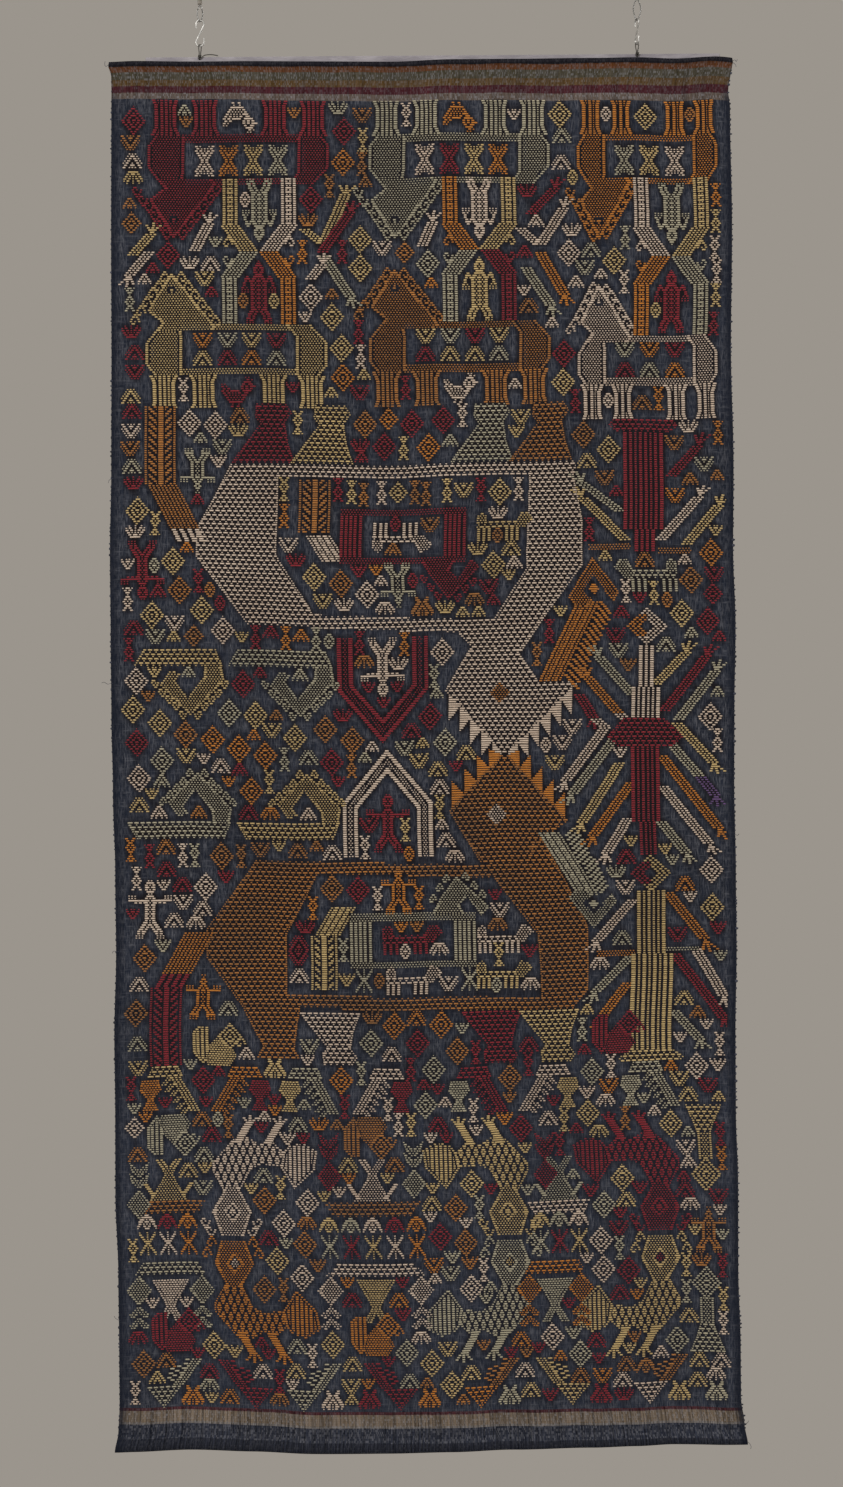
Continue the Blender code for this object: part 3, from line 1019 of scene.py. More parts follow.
def top_zone():
    """Beasts hung by their feet over beasts that stand, with posts between them."""
    beast(18, 0, RED, (CREAM, ORANGE, YELLOW, GREEN), "figure", True, (1.0, 0.97), CREAM)
    beast(180, 0, GREEN, (CREAM, RED, YELLOW, ORANGE), "figure", True, (1.0, 0.97), ORANGE)
    beast(334, 0, ORANGE, (GREEN, YELLOW, CREAM), "figure", True, (0.77, 1.0), 0)
    beast(17, 121, YELLOW, (ORANGE, GREEN, YELLOW, RED), "fan", False, (1.0, 0.96), RED)
    beast(180, 118, BROWN, (YELLOW, GREEN, RED, YELLOW), "fan", False, (1.0, 0.97), CREAM)
    beast(334, 131, CREAM, (GREEN, ORANGE, RED), "fan", False, (0.77, 0.97), 0)
    hourglass(103, 56, 106, (YELLOW, CREAM, GREEN, ORANGE), (GREEN, RED))
    hourglass(264, 56, 104, (ORANGE, YELLOW, GREEN, RED), (CREAM, YELLOW))
    hourglass(404, 58, 115, (CREAM, YELLOW, ORANGE, GREEN), (GREEN, RED))


def middle_zone():
    """Two large ring-bodied beasts that face each other, and what is round them and in them."""
    loop_beast(HUNG_LOOP, HUNG_CREST, CREAM, CREAM, "roofs", BROWN, 277, 430)
    loop_beast(STANDING_LOOP, STANDING_CREST, BROWN, ORANGE, "triangles", CREAM, 275, 518)
    for x, yarn in ((82, RED), (125, YELLOW), (242, GREEN), (285, BROWN)):
        flask(x, 220, yarn)
    for x, yarn in ((130, CREAM), (248, RED), (290, YELLOW)):
        flask(x, 660, yarn, True, (0.95, 0.88))
    herring(30, 221, 278, BROWN)
    slats(32, 279, 54, 320, (BROWN, CREAM))
    herring(32, 642, 700, RED)
    slats(56, 602, 34, 641, (ORANGE, RED))
    herring(143, 274, 312, BROWN)
    slats(146, 313, 158, 332, (CREAM,), pitch=4.6)
    frame_beast(162, 294, RED, CREAM, flip_y=True)
    herring(147, 604, 644, YELLOW, width=19.0)
    slats(162, 582, 150, 603, (YELLOW,), pitch=4.6)
    frame_beast(166, 560, GREEN, RED)
    arch(192, 388, 66, 76, RED, flip_y=True)
    stamp("elder", 192, 409, CREAM, True)
    arch(195, 468, 66, 79, CREAM)
    stamp("elder", 195, 523, RED)
    stamp("ancestor", 204, 350, GREEN, True)
    stamp("ancestor", 202, 572, ORANGE)
    stamp("twin", 176, 636, GREEN)
    stamp("twin", 253, 636, GREEN)
    stamp("elder", 18, 340, RED, True)
    stamp("ancestor", 57, 268, GREEN, True)
    stamp("elder", 20, 584, CREAM)
    stamp("ancestor", 59, 649, ORANGE)
    for x, y, yarn in ((262, 299, YELLOW), (259, 597, CREAM), (258, 623, YELLOW), (192, 626, CREAM)):
        hound(x, y, yarn, scale=(0.98, 0.92))
    for x, yarn in ((170, YELLOW), (192, CREAM), (216, BROWN), (240, YELLOW)):
        stamp("waist", x, 283, yarn)
    naga(12, 397, YELLOW, True, 64)
    naga(80, 397, GREEN, True)
    naga(4, 486, GREEN)
    naga(84, 486, YELLOW)
    for x, y, yarn in ((100, 388, RED), (122, 388, ORANGE), (144, 388, GREEN), (20, 546, RED),
                       (44, 546, CREAM)):
        stamp("waist", x, y, yarn)
    comb(306, 332, ORANGE)
    comb(306, 532, GREEN, True, (0.95, 0.78))


def right_zone():
    """Striped trunks one above the other, with limbs to both sides."""
    for *yarns, route in LIMBS:
        limb(yarns, route)
    for x0, x1, y, yarn in ((343, 374, 324, BROWN), (394, 418, 327, BROWN), (346, 374, 618, ORANGE),
                            (396, 421, 616, GREEN)):
        form(box(x0, y, x1, y + 4), yarn, "laced")
    spread(383, 234, RED, 17, flip_y=True)
    trunk(383, 244, 314, RED, 29)
    trunk(384, 314, 329, RED, 15)
    hound(361, 334, GREEN, True, scale=(1.1, 1.1))
    fork(384, 383, CREAM, ORANGE)
    trunk(384, 396, 427, CREAM, 11)
    trunk(384, 427, 450, CREAM, 21)
    form("368,450 398,450 412,463 404,470 364,470 356,463", RED, "triangles", 2)
    trunk(384, 470, 524, RED, 21)
    trunk(385, 524, 549, RED, 12)
    fork(386, 562, YELLOW, RED)
    trunk(386, 575, 621, YELLOW, 21)
    trunk(387, 621, 691, YELLOW, 31)
    spread(387, 691, YELLOW, 16, 9)


# The row of sprigs at the bottom: each one's width, height and margin, and how often the yarn turns
SPRIGS_FROM, SPRIGS_TO = 40.0, FIELD_WIDTH - 10
SPRIGS_DOWN = 939
SPRIG_ROOM = (16, 14, 0.3)
SPRIG_PITCH = 26.0
SPRIG_TURN = 31


def low_zone():
    """Birds in mirrored pairs, with bowls, arches, goblets and cups."""
    crested_bird(59, 735, CREAM, CREAM, False, True)
    crested_bird(214, 735, YELLOW, YELLOW, True, True)
    crested_bird(324, 735, RED, RED, True, True)
    crested_bird(59, 824, ORANGE, CREAM, False, False)
    crested_bird(214, 824, GREEN, YELLOW, True, False)
    crested_bird(324, 824, YELLOW, RED, True, False)
    for x, yarn, other, flip in ((10, YELLOW, ORANGE, False), (64, ORANGE, RED, True),
                                 (112, GREEN, YELLOW, False), (168, CREAM, RED, True),
                                 (236, RED, GREEN, False), (290, CREAM, YELLOW, True),
                                 (362, GREEN, GREEN, False)):
        roof(x, 699, yarn, other, flip)
    bowl(33, 797, 54, BROWN, YELLOW)
    bowl(182, 796, 70, BROWN, CREAM)
    bowl(318, 798, 46, CREAM, GREEN)
    dome(33, 842, 54, GREEN, CREAM)
    dome(183, 840, 74, CREAM, YELLOW)
    dome(314, 842, 46, ORANGE, GREEN)
    for i, x in enumerate((17, 32, 47, 150, 166, 182, 198, 214, 304, 318, 332)):
        stamp("spray", x, 812, SMALL_YARNS[i % 5], True)
        stamp("twin", x, 828, SMALL_YARNS[(i * 2 + 3) % 5])
    totem(3, 768, GREEN)
    totem(142, 746, RED)
    totem(204, 752, GREEN)
    totem(300, 748, RED)
    goblet(425, 732, YELLOW)
    goblet(425, 848, GREEN, flip_y=True)
    stamp("ancestor", 427, 822, BROWN)
    small_bird(16, 733, GREEN, True)
    small_bird(160, 733, BROWN, True)
    small_bird(17, 876, RED)
    small_bird(162, 876, ORANGE)
    small_bird(50, 668, YELLOW)
    small_bird(342, 662, RED)
    for x, yarn, arm, flip in ((14, GREEN, GREEN, False), (66, RED, RED, True), (116, GREEN, GREEN, False),
                               (172, RED, RED, True), (246, ORANGE, BROWN, False),
                               (298, YELLOW, YELLOW, True), (370, CREAM, BROWN, False)):
        cup(x, 912, yarn, arm, flip)
    x = SPRIGS_FROM
    while x < SPRIGS_TO:
        if free(x, SPRIGS_DOWN, *SPRIG_ROOM):
            stamp("sprig", x, SPRIGS_DOWN, SMALL_YARNS[round(x / SPRIG_TURN) % len(SMALL_YARNS)])
            x += SPRIG_PITCH
        x += 1.0


def weave_chart():
    """Each zone over the ones before it, and the small motifs last."""
    top_zone()
    middle_zone()
    right_zone()
    low_zone()
    scatter()


# The cloth's surface


def eased(keys, values, x):
    """A table's value at x, eased from one key to the next."""
    keys, values, x = (np.asarray(item, float) for item in (keys, values, x))
    i = np.clip(np.searchsorted(keys, x, side="right") - 1, 0, len(keys) - 2)
    share = np.clip((x - keys[i]) / (keys[i + 1] - keys[i]), 0, 1)
    return values[i] + (values[i + 1] - values[i]) * share * share * (3 - 2 * share)


def cloth_depth(across, down):
    """How far the cloth's back stands towards the viewer from the batten's face."""
    share = (down - FLAT_HEADING) / (FREE_LENGTH - FLAT_HEADING)
    ease_in = 1 - np.exp(-np.maximum(down - FLAT_HEADING, 0) / HEADING_EASE)
    depth = np.zeros_like(across)
    for wave in WAVES:
        crest = wave.top + (wave.bottom - wave.top) * share
        depth += crest * np.exp(-(((across - wave.across) / wave.half_width) ** 2))
    for swell in SWELLS:
        depth += swell.depth * np.exp(-(((down - swell.down) / swell.half_height) ** 2))
    return depth * ease_in


def cloth_points(u, down, lift):
    """Points in metres, u of the way across, this far down, and lifted this far off the back."""
    left = eased(SIDE_DOWN, SIDE_LEFT, down)
    right = eased(SIDE_DOWN, SIDE_RIGHT, down)
    across = left + (right - left) * u
    top = eased(END_ACROSS, END_TOP, across)
    bottom = eased(END_ACROSS, END_BOTTOM, across)
    z = top + (bottom - top) * down / FREE_LENGTH
    y = -(BATTEN_HALF_DEPTH + GAP) - cloth_depth(across, down) - lift
    return np.stack([across, y, z], axis=-1) * MM


def cloth_spot(u, down, lift):
    """One place on the cloth, in millimetres."""
    return cloth_points(np.array(u), np.array(down), np.array(lift)) / MM


def wandered(start, swings, x, y):
    for swing in swings:
        start = start + swing.size * np.sin(x / swing.across + y / swing.down)
    return start


def field_place(x, y):
    """Where a place in the chart, in millimetres, lies on the cloth, with the hand's own wander."""
    down = FIELD_TOP + y * (FIELD_BOTTOM - FIELD_TOP) / FIELD_HEIGHT
    down = wandered(down, DOWN_SWINGS, x, y)
    across = wandered(x, ACROSS_SWINGS, x, y)
    down = down + FIELD_SLANT * (x / FIELD_WIDTH - 0.5) * np.exp(-y / SLANT_REACH)
    return (FIELD_MARGIN + across) / (FIELD_WIDTH + 2 * FIELD_MARGIN), down


# Meshes


def linked(name, data):
    made = bpy.data.objects.new(name, data)
    bpy.context.scene.collection.objects.link(made)
    return made


def mesh_object(name, points, faces, material):
    mesh = bpy.data.meshes.new(name)
    mesh.from_pydata([tuple(p) for p in points], [], [tuple(f) for f in faces])
    mesh.materials.append(material)
    mesh.shade_smooth()
    return linked(name, mesh)


def flat_map(mesh, place):
    """The flat map named OFBake: place gives each corner's share of the way across and up."""
    corner = np.zeros(len(mesh.loops), np.int32)
    mesh.loops.foreach_get("vertex_index", corner)
    layer = mesh.uv_layers.new(name="OFBake")
    layer.uv.foreach_set("vector", place[corner].astype(np.float32).ravel())


def cover_at(u, down):
    """How much of the ground near each place lies under floats."""
    lit = np.pad((CHART > 0).astype(float), ((1, 0), (1, 0))).cumsum(0).cumsum(1)
    x = u * (FIELD_WIDTH + 2 * FIELD_MARGIN) - FIELD_MARGIN
    y = (down - FIELD_TOP) * FIELD_HEIGHT / (FIELD_BOTTOM - FIELD_TOP)
    end, pick = np.round(x / END_PITCH).astype(int), np.round(y / PICK_PITCH).astype(int)
    left, right = (np.clip(end + reach, 0, ENDS) for reach in (-COVER_ENDS, COVER_ENDS))
    top, low = (np.clip(pick + reach, 0, PICKS) for reach in (-COVER_PICKS, COVER_PICKS))
    total = lit[low, right] - lit[top, right] - lit[low, left] + lit[top, left]
    return total / (4 * COVER_ENDS * COVER_PICKS)


def make_cloth(material):
    """A closed sheet: its face, its back and four narrow edges."""
    plain = np.linspace(PLY_DOWN[PLAIN_FROM], PLY_DOWN[PLAIN_TO], CLOTH_ROWS)
    downs = np.concatenate([PLY_DOWN[:PLAIN_FROM], plain, PLY_DOWN[PLAIN_TO + 1 :]])
    edge = np.array(EDGE_SHARES)
    middle = np.linspace(MIDDLE_FROM, 1 - MIDDLE_FROM, CLOTH_COLUMNS)
    u, down = np.meshgrid(np.concatenate([edge, middle, 1 - edge[::-1]]), downs)
    round_edge = 1 - EDGE_THINNED * np.exp(-((np.minimum(u, 1 - u) / EDGE_ROUND) ** 2))
    thick = np.interp(down, PLY_DOWN, PLY_THICK) * round_edge
    face = cloth_points(u, down, thick).reshape(-1, 3)
    back = cloth_points(u, down, 0.0 * thick).reshape(-1, 3)
    rows, columns = u.shape
    index = np.arange(rows * columns).reshape(rows, columns)
    a, b, c, d = index[:-1, :-1], index[1:, :-1], index[1:, 1:], index[:-1, 1:]
    front = np.stack([a, b, c, d], axis=-1).reshape(-1, 4)
    faces = [front, front[:, ::-1] + rows * columns]
    for line in (index[::-1, 0], index[0, :], index[:, -1], index[-1, ::-1]):
        near, far = line[:-1], line[1:]
        faces.append(np.stack([near, far, far + rows * columns, near + rows * columns], axis=-1))
    made = mesh_object("cloth_sheet", np.concatenate([face, back]), np.concatenate(faces), material)
    across, fallen = u.ravel(), down.ravel() / FREE_LENGTH
    halves = [np.stack([start + across * width, MAP_EDGE + (1 - fallen) * MAP_HEIGHT], axis=-1)
              for start, width in ((MAP_SIDE, MAP_WIDTH), (1 - MAP_SIDE, -MAP_WIDTH))]
    flat_map(made.data, np.concatenate(halves))
    own = np.stack([across, fallen, 0 * across], axis=-1)
    both = np.concatenate([own, own + (0.0, 0.0, 1.0)])
    weave = made.data.attributes.new("weave", "FLOAT_VECTOR", "POINT")
    weave.data.foreach_set("vector", both.astype(np.float32).ravel())
    # The float cover near each place, which the finish turns into painted shade
    near = cover_at(across, down.ravel())
    cover = made.data.attributes.new("cover", "FLOAT", "POINT")
    cover.data.foreach_set("value", np.concatenate([near, near * BACK_COVER]).astype(np.float32))
    return made


Runs = namedtuple("Runs", "pick first last yarn")


def float_runs():
    """Every unbroken stretch of one yarn along a pick."""
    padded = np.pad(CHART, ((0, 0), (1, 1)))
    change = padded[:, 1:] != padded[:, :-1]
    pick, start = np.nonzero(change & (padded[:, 1:] > 0))
    _, end = np.nonzero(change & (padded[:, :-1] > 0))
    return Runs(pick, start, end, CHART[pick, start])


def reverse_runs(runs):
    """The stretches behind the cloth where a yarn passes from one float to the next."""
    same = (runs.pick[1:] == runs.pick[:-1]) & (runs.yarn[1:] == runs.yarn[:-1])
    gap = runs.first[1:] - runs.last[:-1]
    kept = np.nonzero(same & (gap > 0) & (gap <= REVERSE_LONGEST))[0]
    return Runs(runs.pick[kept], runs.last[kept], runs.first[kept + 1], runs.yarn[kept])


# A float's four corners and the two ends of its ridge
FLOAT_QUADS = ((0, 4, 5, 1), (4, 3, 2, 5), (0, 1, 2, 3))
FLOAT_HIPS = ((0, 3, 4), (1, 5, 2))


def make_floats(name, runs, material, seed, behind):
    """One low hipped pillow for each float, joined into one mesh."""
    draw = np.random.default_rng(seed)
    count = len(runs.pick)
    y = (runs.pick + 0.5) * PICK_PITCH + draw.normal(0, FLOAT_STRAY, count)
    x0 = runs.first * END_PITCH - FLOAT_LAP + draw.normal(0, FLOAT_STRAY, count)
    x1 = runs.last * END_PITCH + FLOAT_LAP + draw.normal(0, FLOAT_STRAY, count)
    hip = np.minimum(FLOAT_HIP, (x1 - x0) * FLOAT_HIP_SHARE)
    half = np.interp(runs.last - runs.first, SHORT_AND_LONG, (SHORT_HALF, FLOAT_HALF))
    half = half * draw.uniform(*FLOAT_WIDTHS, count)
    rise = draw.uniform(*FLOAT_RISES, count)
    places = ((x0, y - half, 0), (x1, y - half, 0), (x1, y + half, 0), (x0, y + half, 0),
              (x0 + hip, y, 1), (x1 - hip, y, 1))
    points = []
    for x, level, top in places:
        u, down = field_place(x, level)
        if behind:
            lift = -REVERSE_HEIGHT * rise if top else np.full(count, FLOAT_SUNK)
        else:
            ply = np.interp(down, PLY_DOWN, PLY_THICK)
            lift = ply + (FLOAT_HEIGHT * rise if top else -FLOAT_SUNK)
        points.append(cloth_points(u, down, lift))
    points = np.stack(points, axis=1).reshape(-1, 3)
    start = np.arange(count)[:, None, None] * len(places)
    faces = []
    for shapes in (FLOAT_QUADS, FLOAT_HIPS):
        shapes = np.array(shapes)[:, :: -1 if behind else 1]
        faces.append((shapes[None] + start).reshape(-1))
    corner = np.concatenate(faces).astype(np.int32)
    sizes = np.repeat((4, 3), (count * len(FLOAT_QUADS), count * len(FLOAT_HIPS)))
    mesh = bpy.data.meshes.new(name)
    mesh.vertices.add(len(points))
    mesh.vertices.foreach_set("co", points.astype(np.float32).ravel())
    mesh.loops.add(len(corner))
    mesh.loops.foreach_set("vertex_index", corner)
    mesh.polygons.add(len(sizes))
    mesh.polygons.foreach_set("loop_start", (np.cumsum(sizes) - sizes).astype(np.int32))
    mesh.update(calc_edges=True)
    mesh.validate()
    mesh.shade_smooth()
    mesh.materials.append(material)
    low, high = CAD_BOX
    spans = [(points[:, axis] - low[axis]) / (high[axis] - low[axis]) for axis in (0, 2)]
    flat_map(mesh, np.stack(spans, axis=-1))
    return linked(name, mesh)


# Finishes


def linear(colour):
    """A colour given in the picture's own 8-bit values, as light."""
    light = []
    for value in colour:
        share = value / 255
        light.append(share / 12.92 if share <= 0.04045 else ((share + 0.055) / 1.055) ** 2.4)
    return (*light, 1.0)


class Value:
    """What a node gives, with the signs for sums."""

    def __init__(self, finish, socket):
        self.finish = finish
        self.socket = socket

    def maths(self, operation, first, second):
        return self.finish.node("Math", {0: first, 1: second}, operation=operation)

    def __add__(self, other):
        return self.maths("ADD", self, other)

    def __sub__(self, other):
        return self.maths("SUBTRACT", self, other)

    def __rsub__(self, other):
        return self.maths("SUBTRACT", other, self)

    def __mul__(self, other):
        return self.maths("MULTIPLY", self, other)

    def ranged(self, low, high, to_low=0.0, to_high=1.0):
        """The value with one range stretched to another, and held at its ends."""
        limits = {"From Min": low, "From Max": high, "To Min": to_low, "To Max": to_high}
        return self.finish.node("MapRange", {"Value": self, **limits})


class Finish:
    """A material, its shader and the nodes that feed it."""

    def __init__(self, name, roughness, metallic=0.0, sheen=0.0, specular=0.1):
        self.material = bpy.data.materials.new(name)
        self.material.use_nodes = True
        self.tree = self.material.node_tree
        self.shader = self.tree.nodes["Principled BSDF"]
        self.feed(self.shader, {"Roughness": roughness, "Metallic": metallic, "Sheen Weight": sheen,
                                "Specular IOR Level": 0.5 if metallic else specular})

    def feed(self, made, inputs):
        """Sets a node's inputs, or links what feeds them."""
        for name, value in inputs.items():
            if isinstance(value, Value):
                self.tree.links.new(value.socket, made.inputs[name])
            else:
                made.inputs[name].default_value = value

    def node(self, kind, inputs, output=0, **settings):
        made = self.tree.nodes.new(f"ShaderNode{kind}")
        for name, value in settings.items():
            setattr(made, name, value)
        self.feed(made, inputs)
        return Value(self, made.outputs[output])

    def place(self):
        return self.node("TexCoord", {}, "Object")

    def attribute(self, name, output):
        return self.node("Attribute", {}, output, attribute_name=name)

    def stretched(self, vector, stretch):
        return self.node("VectorMath", {0: vector, 1: stretch}, operation="MULTIPLY")

    def noise(self, vector, stretch, detail=2.0, roughness=0.5):
        """Noise in a stretched space: stretch gives how many waves a unit holds in each direction."""
        vector = self.stretched(vector, stretch)
        inputs = {"Vector": vector, "Scale": 1.0, "Detail": detail, "Roughness": roughness}
        return self.node("TexNoise", inputs, "Fac")

    def ribs(self, vector, scale, direction):
        inputs = {"Vector": vector, "Scale": scale, "Distortion": 0.0}
        return self.node("TexWave", inputs, "Fac", bands_direction=direction)

    def mixed(self, factor, first, second, blend="MIX"):
        """The colour between two colours."""
        inputs = {0: factor, 6: first, 7: second}
        return self.node("Mix", inputs, 2, data_type="RGBA", blend_type=blend)

    def shaded(self, colour, value):
        """The colour made brighter or darker."""
        grey = self.node("CombineColor", {0: value, 1: value, 2: value})
        return self.mixed(1.0, colour, grey, "MULTIPLY")

    def ends_ramp(self, level, colours):
        """A ramp of plain steps, one for each band."""
        ramp = self.node("ValToRGB", {0: level})
        steps = ramp.socket.node.color_ramp
        steps.interpolation = "CONSTANT"
        steps.elements.remove(steps.elements[1])
        for band, colour in zip(BANDS, colours):
            step = steps.elements.new(band_place(band.down)) if band.down else steps.elements[0]
            step.color = colour
        return ramp

    def done(self, colour, height, strength, distance):
        """The material with its colour and its relief."""
        bump = self.node("Bump", {"Height": height, "Strength": strength, "Distance": distance})
        self.feed(self.shader, {"Base Color": colour, "Normal": bump})
        return self.material


NAVY = (24, 27, 36)
INDIGO = (31, 35, 45)
THREAD_LIGHT = (142, 142, 148)
# The near-black colour of the painted shade that the ground takes among the floats
PAINTED_SHADE_UNDER_FLOATS = (25, 21, 21)
Band = namedtuple("Band", "down colour streak")
BANDS = (
    Band(0.0, (27, 26, 31), 0.15),
    Band(3.6, (76, 44, 21), 0.5),
    Band(7.8, (57, 52, 39), 0.7),
    Band(13.6, (71, 53, 29), 0.5),
    Band(18.6, (58, 25, 30), 0.3),
    Band(23.9, (77, 66, 58), 0.9),
    Band(28.8, INDIGO, 0.7),
    Band(970.6, (58, 30, 34), 0.3),
    Band(972.8, (93, 81, 68), 0.8),
    Band(980.8, (90, 84, 79), 0.9),
    Band(982.2, (34, 37, 47), 0.6),
    Band(993.0, (32, 34, 42), 0.15),
)
END_BANDS = 40.0
CROSSINGS = (620.0, 640.0, 0.0)
WORN_FROM, WORN_TO = 0.62, 0.8


def band_place(down):
    """Where a depth falls in the ramps, which spread out the two ends and leave out the field."""
    return (min(down, END_BANDS) + max(down - FREE_LENGTH + END_BANDS, 0.0)) / (2 * END_BANDS)


def cloth_material():
    """Indigo cloth with paler warp streaks, striped bands at both ends and painted shade among the floats.
    """
    finish = Finish("indigo_cotton", 1.0, specular=0.0)
    noise = finish.noise
    own = finish.attribute("weave", "Vector")
    across = finish.node("SeparateXYZ", {0: own}, 0)
    down = finish.node("SeparateXYZ", {0: own}, 1)

    # The bands' edges waver a little, and the upper ones slant
    waver = (noise(own, (9.0, 2.0, 0.0), 3.0) - 0.5) * 0.003
    slope = (0.5 - across) * down.ranged(0.01, 0.028, 0.0, 0.005)
    depth = down + waver + slope
    share = END_BANDS / FREE_LENGTH
    level = depth.ranged(0.0, share, 0.0, 0.5) + depth.ranged(1 - share, 1.0, 0.0, 0.5)
    dye = finish.ends_ramp(level, [linear(band.colour) for band in BANDS])
    streakiness = finish.ends_ramp(level, [(band.streak,) * 3 + (1.0,) for band in BANDS])
    field = depth.ranged(0.0284, 0.0292) * depth.ranged(0.9712, 0.9704)
    in_bands = 1.0 - field

    # Paler warp streaks, thick wefts, and a speckle where the bands' threads cross
    fine = noise(own, (470.0, 160.0, 0.0), 3.0, 0.65)
    wide = noise(own, (80.0, 26.0, 0.0), 3.0, 0.6)
    weft = noise(own, (50.0, 520.0, 0.0), 3.0)
    streak = fine.ranged(0.42, 0.66) * wide.ranged(0.35, 0.65, 0.3, 1.0)
    slubs = weft.ranged(0.5, 0.7) * fine.ranged(0.3, 0.6, 0.2, 0.8)
    slubs = slubs * down.ranged(0.968, 0.974, 1.0, 0.35)
    streak = streak.maths("MAXIMUM", streak, slubs) * in_bands.ranged(0.0, 1.0, 1.0, 0.55)
    crossings = finish.node("VectorMath", {0: finish.stretched(own, CROSSINGS)}, operation="FLOOR")
    grit = finish.node("TexWhiteNoise", {"Vector": crossings}, "Value", noise_dimensions="2D")
    speckle = grit.ranged(0.5, 1.0) * in_bands
    streak = streak.maths("MAXIMUM", streak, speckle) * streakiness

    # Lighter and darker ends, worn paler low down
    patch = noise(own, (7.0, 12.0, 0.0))
    lines = noise(own, (260.0, 9.0, 0.0), 3.0, 0.7)
    shade = patch.ranged(0.35, 0.65, 0.88, 1.1) * lines.ranged(0.3, 0.7, 0.68, 1.2)
    worn = down.ranged(WORN_FROM, WORN_TO, 1.0, 1.3)
    ends = noise(own, (360.0, 16.0, 0.0), 2.0, 0.6)
    faint, strong = ends.ranged(0.38, 0.62, 0.8, 1.18), ends.ranged(0.38, 0.62, 0.5, 1.5)
    barred = faint + down * (strong - faint)
    shade = shade * (worn + in_bands * (barred - worn))
    base = finish.shaded(dye, shade)

    # Painted shade and plainer ground among the floats, and darker at the selvedges
    cover = finish.attribute("cover", "Fac") * field
    pale = finish.mixed(0.4, base, linear(THREAD_LIGHT))
    colour = finish.mixed(streak * cover.ranged(0.0, 0.5, 1.0, 0.25), base, pale)
    # Painted shade: the ground darkens towards near black where floats cover it, less so low down
    painted_shade = cover.ranged(0.05, 0.5, 0.0, 0.85) * down.ranged(WORN_FROM, WORN_TO, 1.0, 0.72)
    colour = finish.mixed(painted_shade, colour, linear(PAINTED_SHADE_UNDER_FLOATS))
    from_edge = across.maths("MINIMUM", across, 1.0 - across)
    selvedge = from_edge.ranged(0.004, 0.016, 1.0, 0.0) * down.ranged(0.02, 0.03)
    colour = finish.mixed(selvedge * 0.8, colour, linear(NAVY))

    relief = finish.ribs(own, 120.0, "X") + finish.ribs(own, 190.0, "Y") + fine
    return finish.done(colour, relief, 0.35, 0.0002)


def yarn_material(name, colour, darker):
    """Yarn whose dye differs from pick to pick and from place to place."""
    finish = Finish(name, 0.7, sheen=0.08)
    place = finish.place()
    picks = finish.noise(place, (10.0, 0.0, 420.0))
    patch = finish.noise(place, (14.0, 0.0, 11.0), 3.0)
    lengths = finish.noise(place, (330.0, 0.0, 600.0), 1.0)
    twist = finish.noise(place, (900.0, 0.0, 2600.0))
    blend = picks.ranged(0.35, 0.65, 0.0, 0.5) + patch.ranged(0.4, 0.66, 0.0, 0.5)
    tint = finish.mixed(blend, linear(colour), linear(darker))
    return finish.done(finish.shaded(tint, lengths.ranged(0.3, 0.7, 0.86, 1.12)), twist, 0.3, 0.0001)


def metal_material(name, colour, roughness, grain, metallic=1.0):
    """Drawn or turned metal with fine lines and a few dull patches."""
    finish = Finish(name, roughness, metallic)
    place = finish.place()
    lines = finish.noise(place, grain, 3.0)
    patch = finish.noise(place, (400.0, 400.0, 400.0))
    dull = [DULLED * value for value in colour]
    tint = finish.mixed(patch.ranged(0.35, 0.7), linear(colour), linear(dull))
    smoothest, roughest = roughness * 0.95, roughness * 1.07
    finish.feed(finish.shader, {"Roughness": lines.ranged(0.3, 0.7, smoothest, roughest)})
    return finish.done(tint, lines, 0.15, 0.00005)


def tape_material():
    """Pale lavender-grey tape with a fine level rib."""
    finish = Finish("grey_tape", 0.9, sheen=0.15)
    place = finish.place()
    rib = finish.noise(place, (220.0, 220.0, 2400.0))
    fuzz = finish.noise(place, (1500.0, 1500.0, 1500.0))
    worn = finish.noise(place, (35.0, 35.0, 120.0), 3.0)
    tint = finish.mixed(worn.ranged(0.35, 0.7), linear((150, 145, 148)), linear((122, 117, 122)))
    tint = finish.mixed(rib.ranged(0.4, 0.7, 0.0, 0.35), tint, linear((92, 88, 94)))
    return finish.done(tint, rib + fuzz, 0.4, 0.0002)


def indigo_thread():
    """The ground's own thread, where it stands out at the edges."""
    finish = Finish("indigo_thread", 0.9, sheen=0.2)
    patch = finish.noise(finish.place(), (300.0, 300.0, 90.0))
    tint = finish.mixed(patch.ranged(0.35, 0.65), linear((32, 34, 42)), linear((58, 60, 72)))
    finish.feed(finish.shader, {"Base Color": tint})
    return finish.material


# The hangers


def smooth(points, step):
    """Points about a step apart on a smooth curve through the given ones."""
    points = [Vector(point) for point in points]
    line = [points[0]]
    for i in range(len(points) - 1):
        start, end = points[i], points[i + 1]
        before = points[i - 1] if i else start
        after = points[i + 2] if i + 2 < len(points) else end
        count = max(1, round((end - start).length / step))
        first, second = start + (end - before) / 6, end - (after - start) / 6
        line += interpolate_bezier(start, first, second, end, count + 1)[1:]
    return line


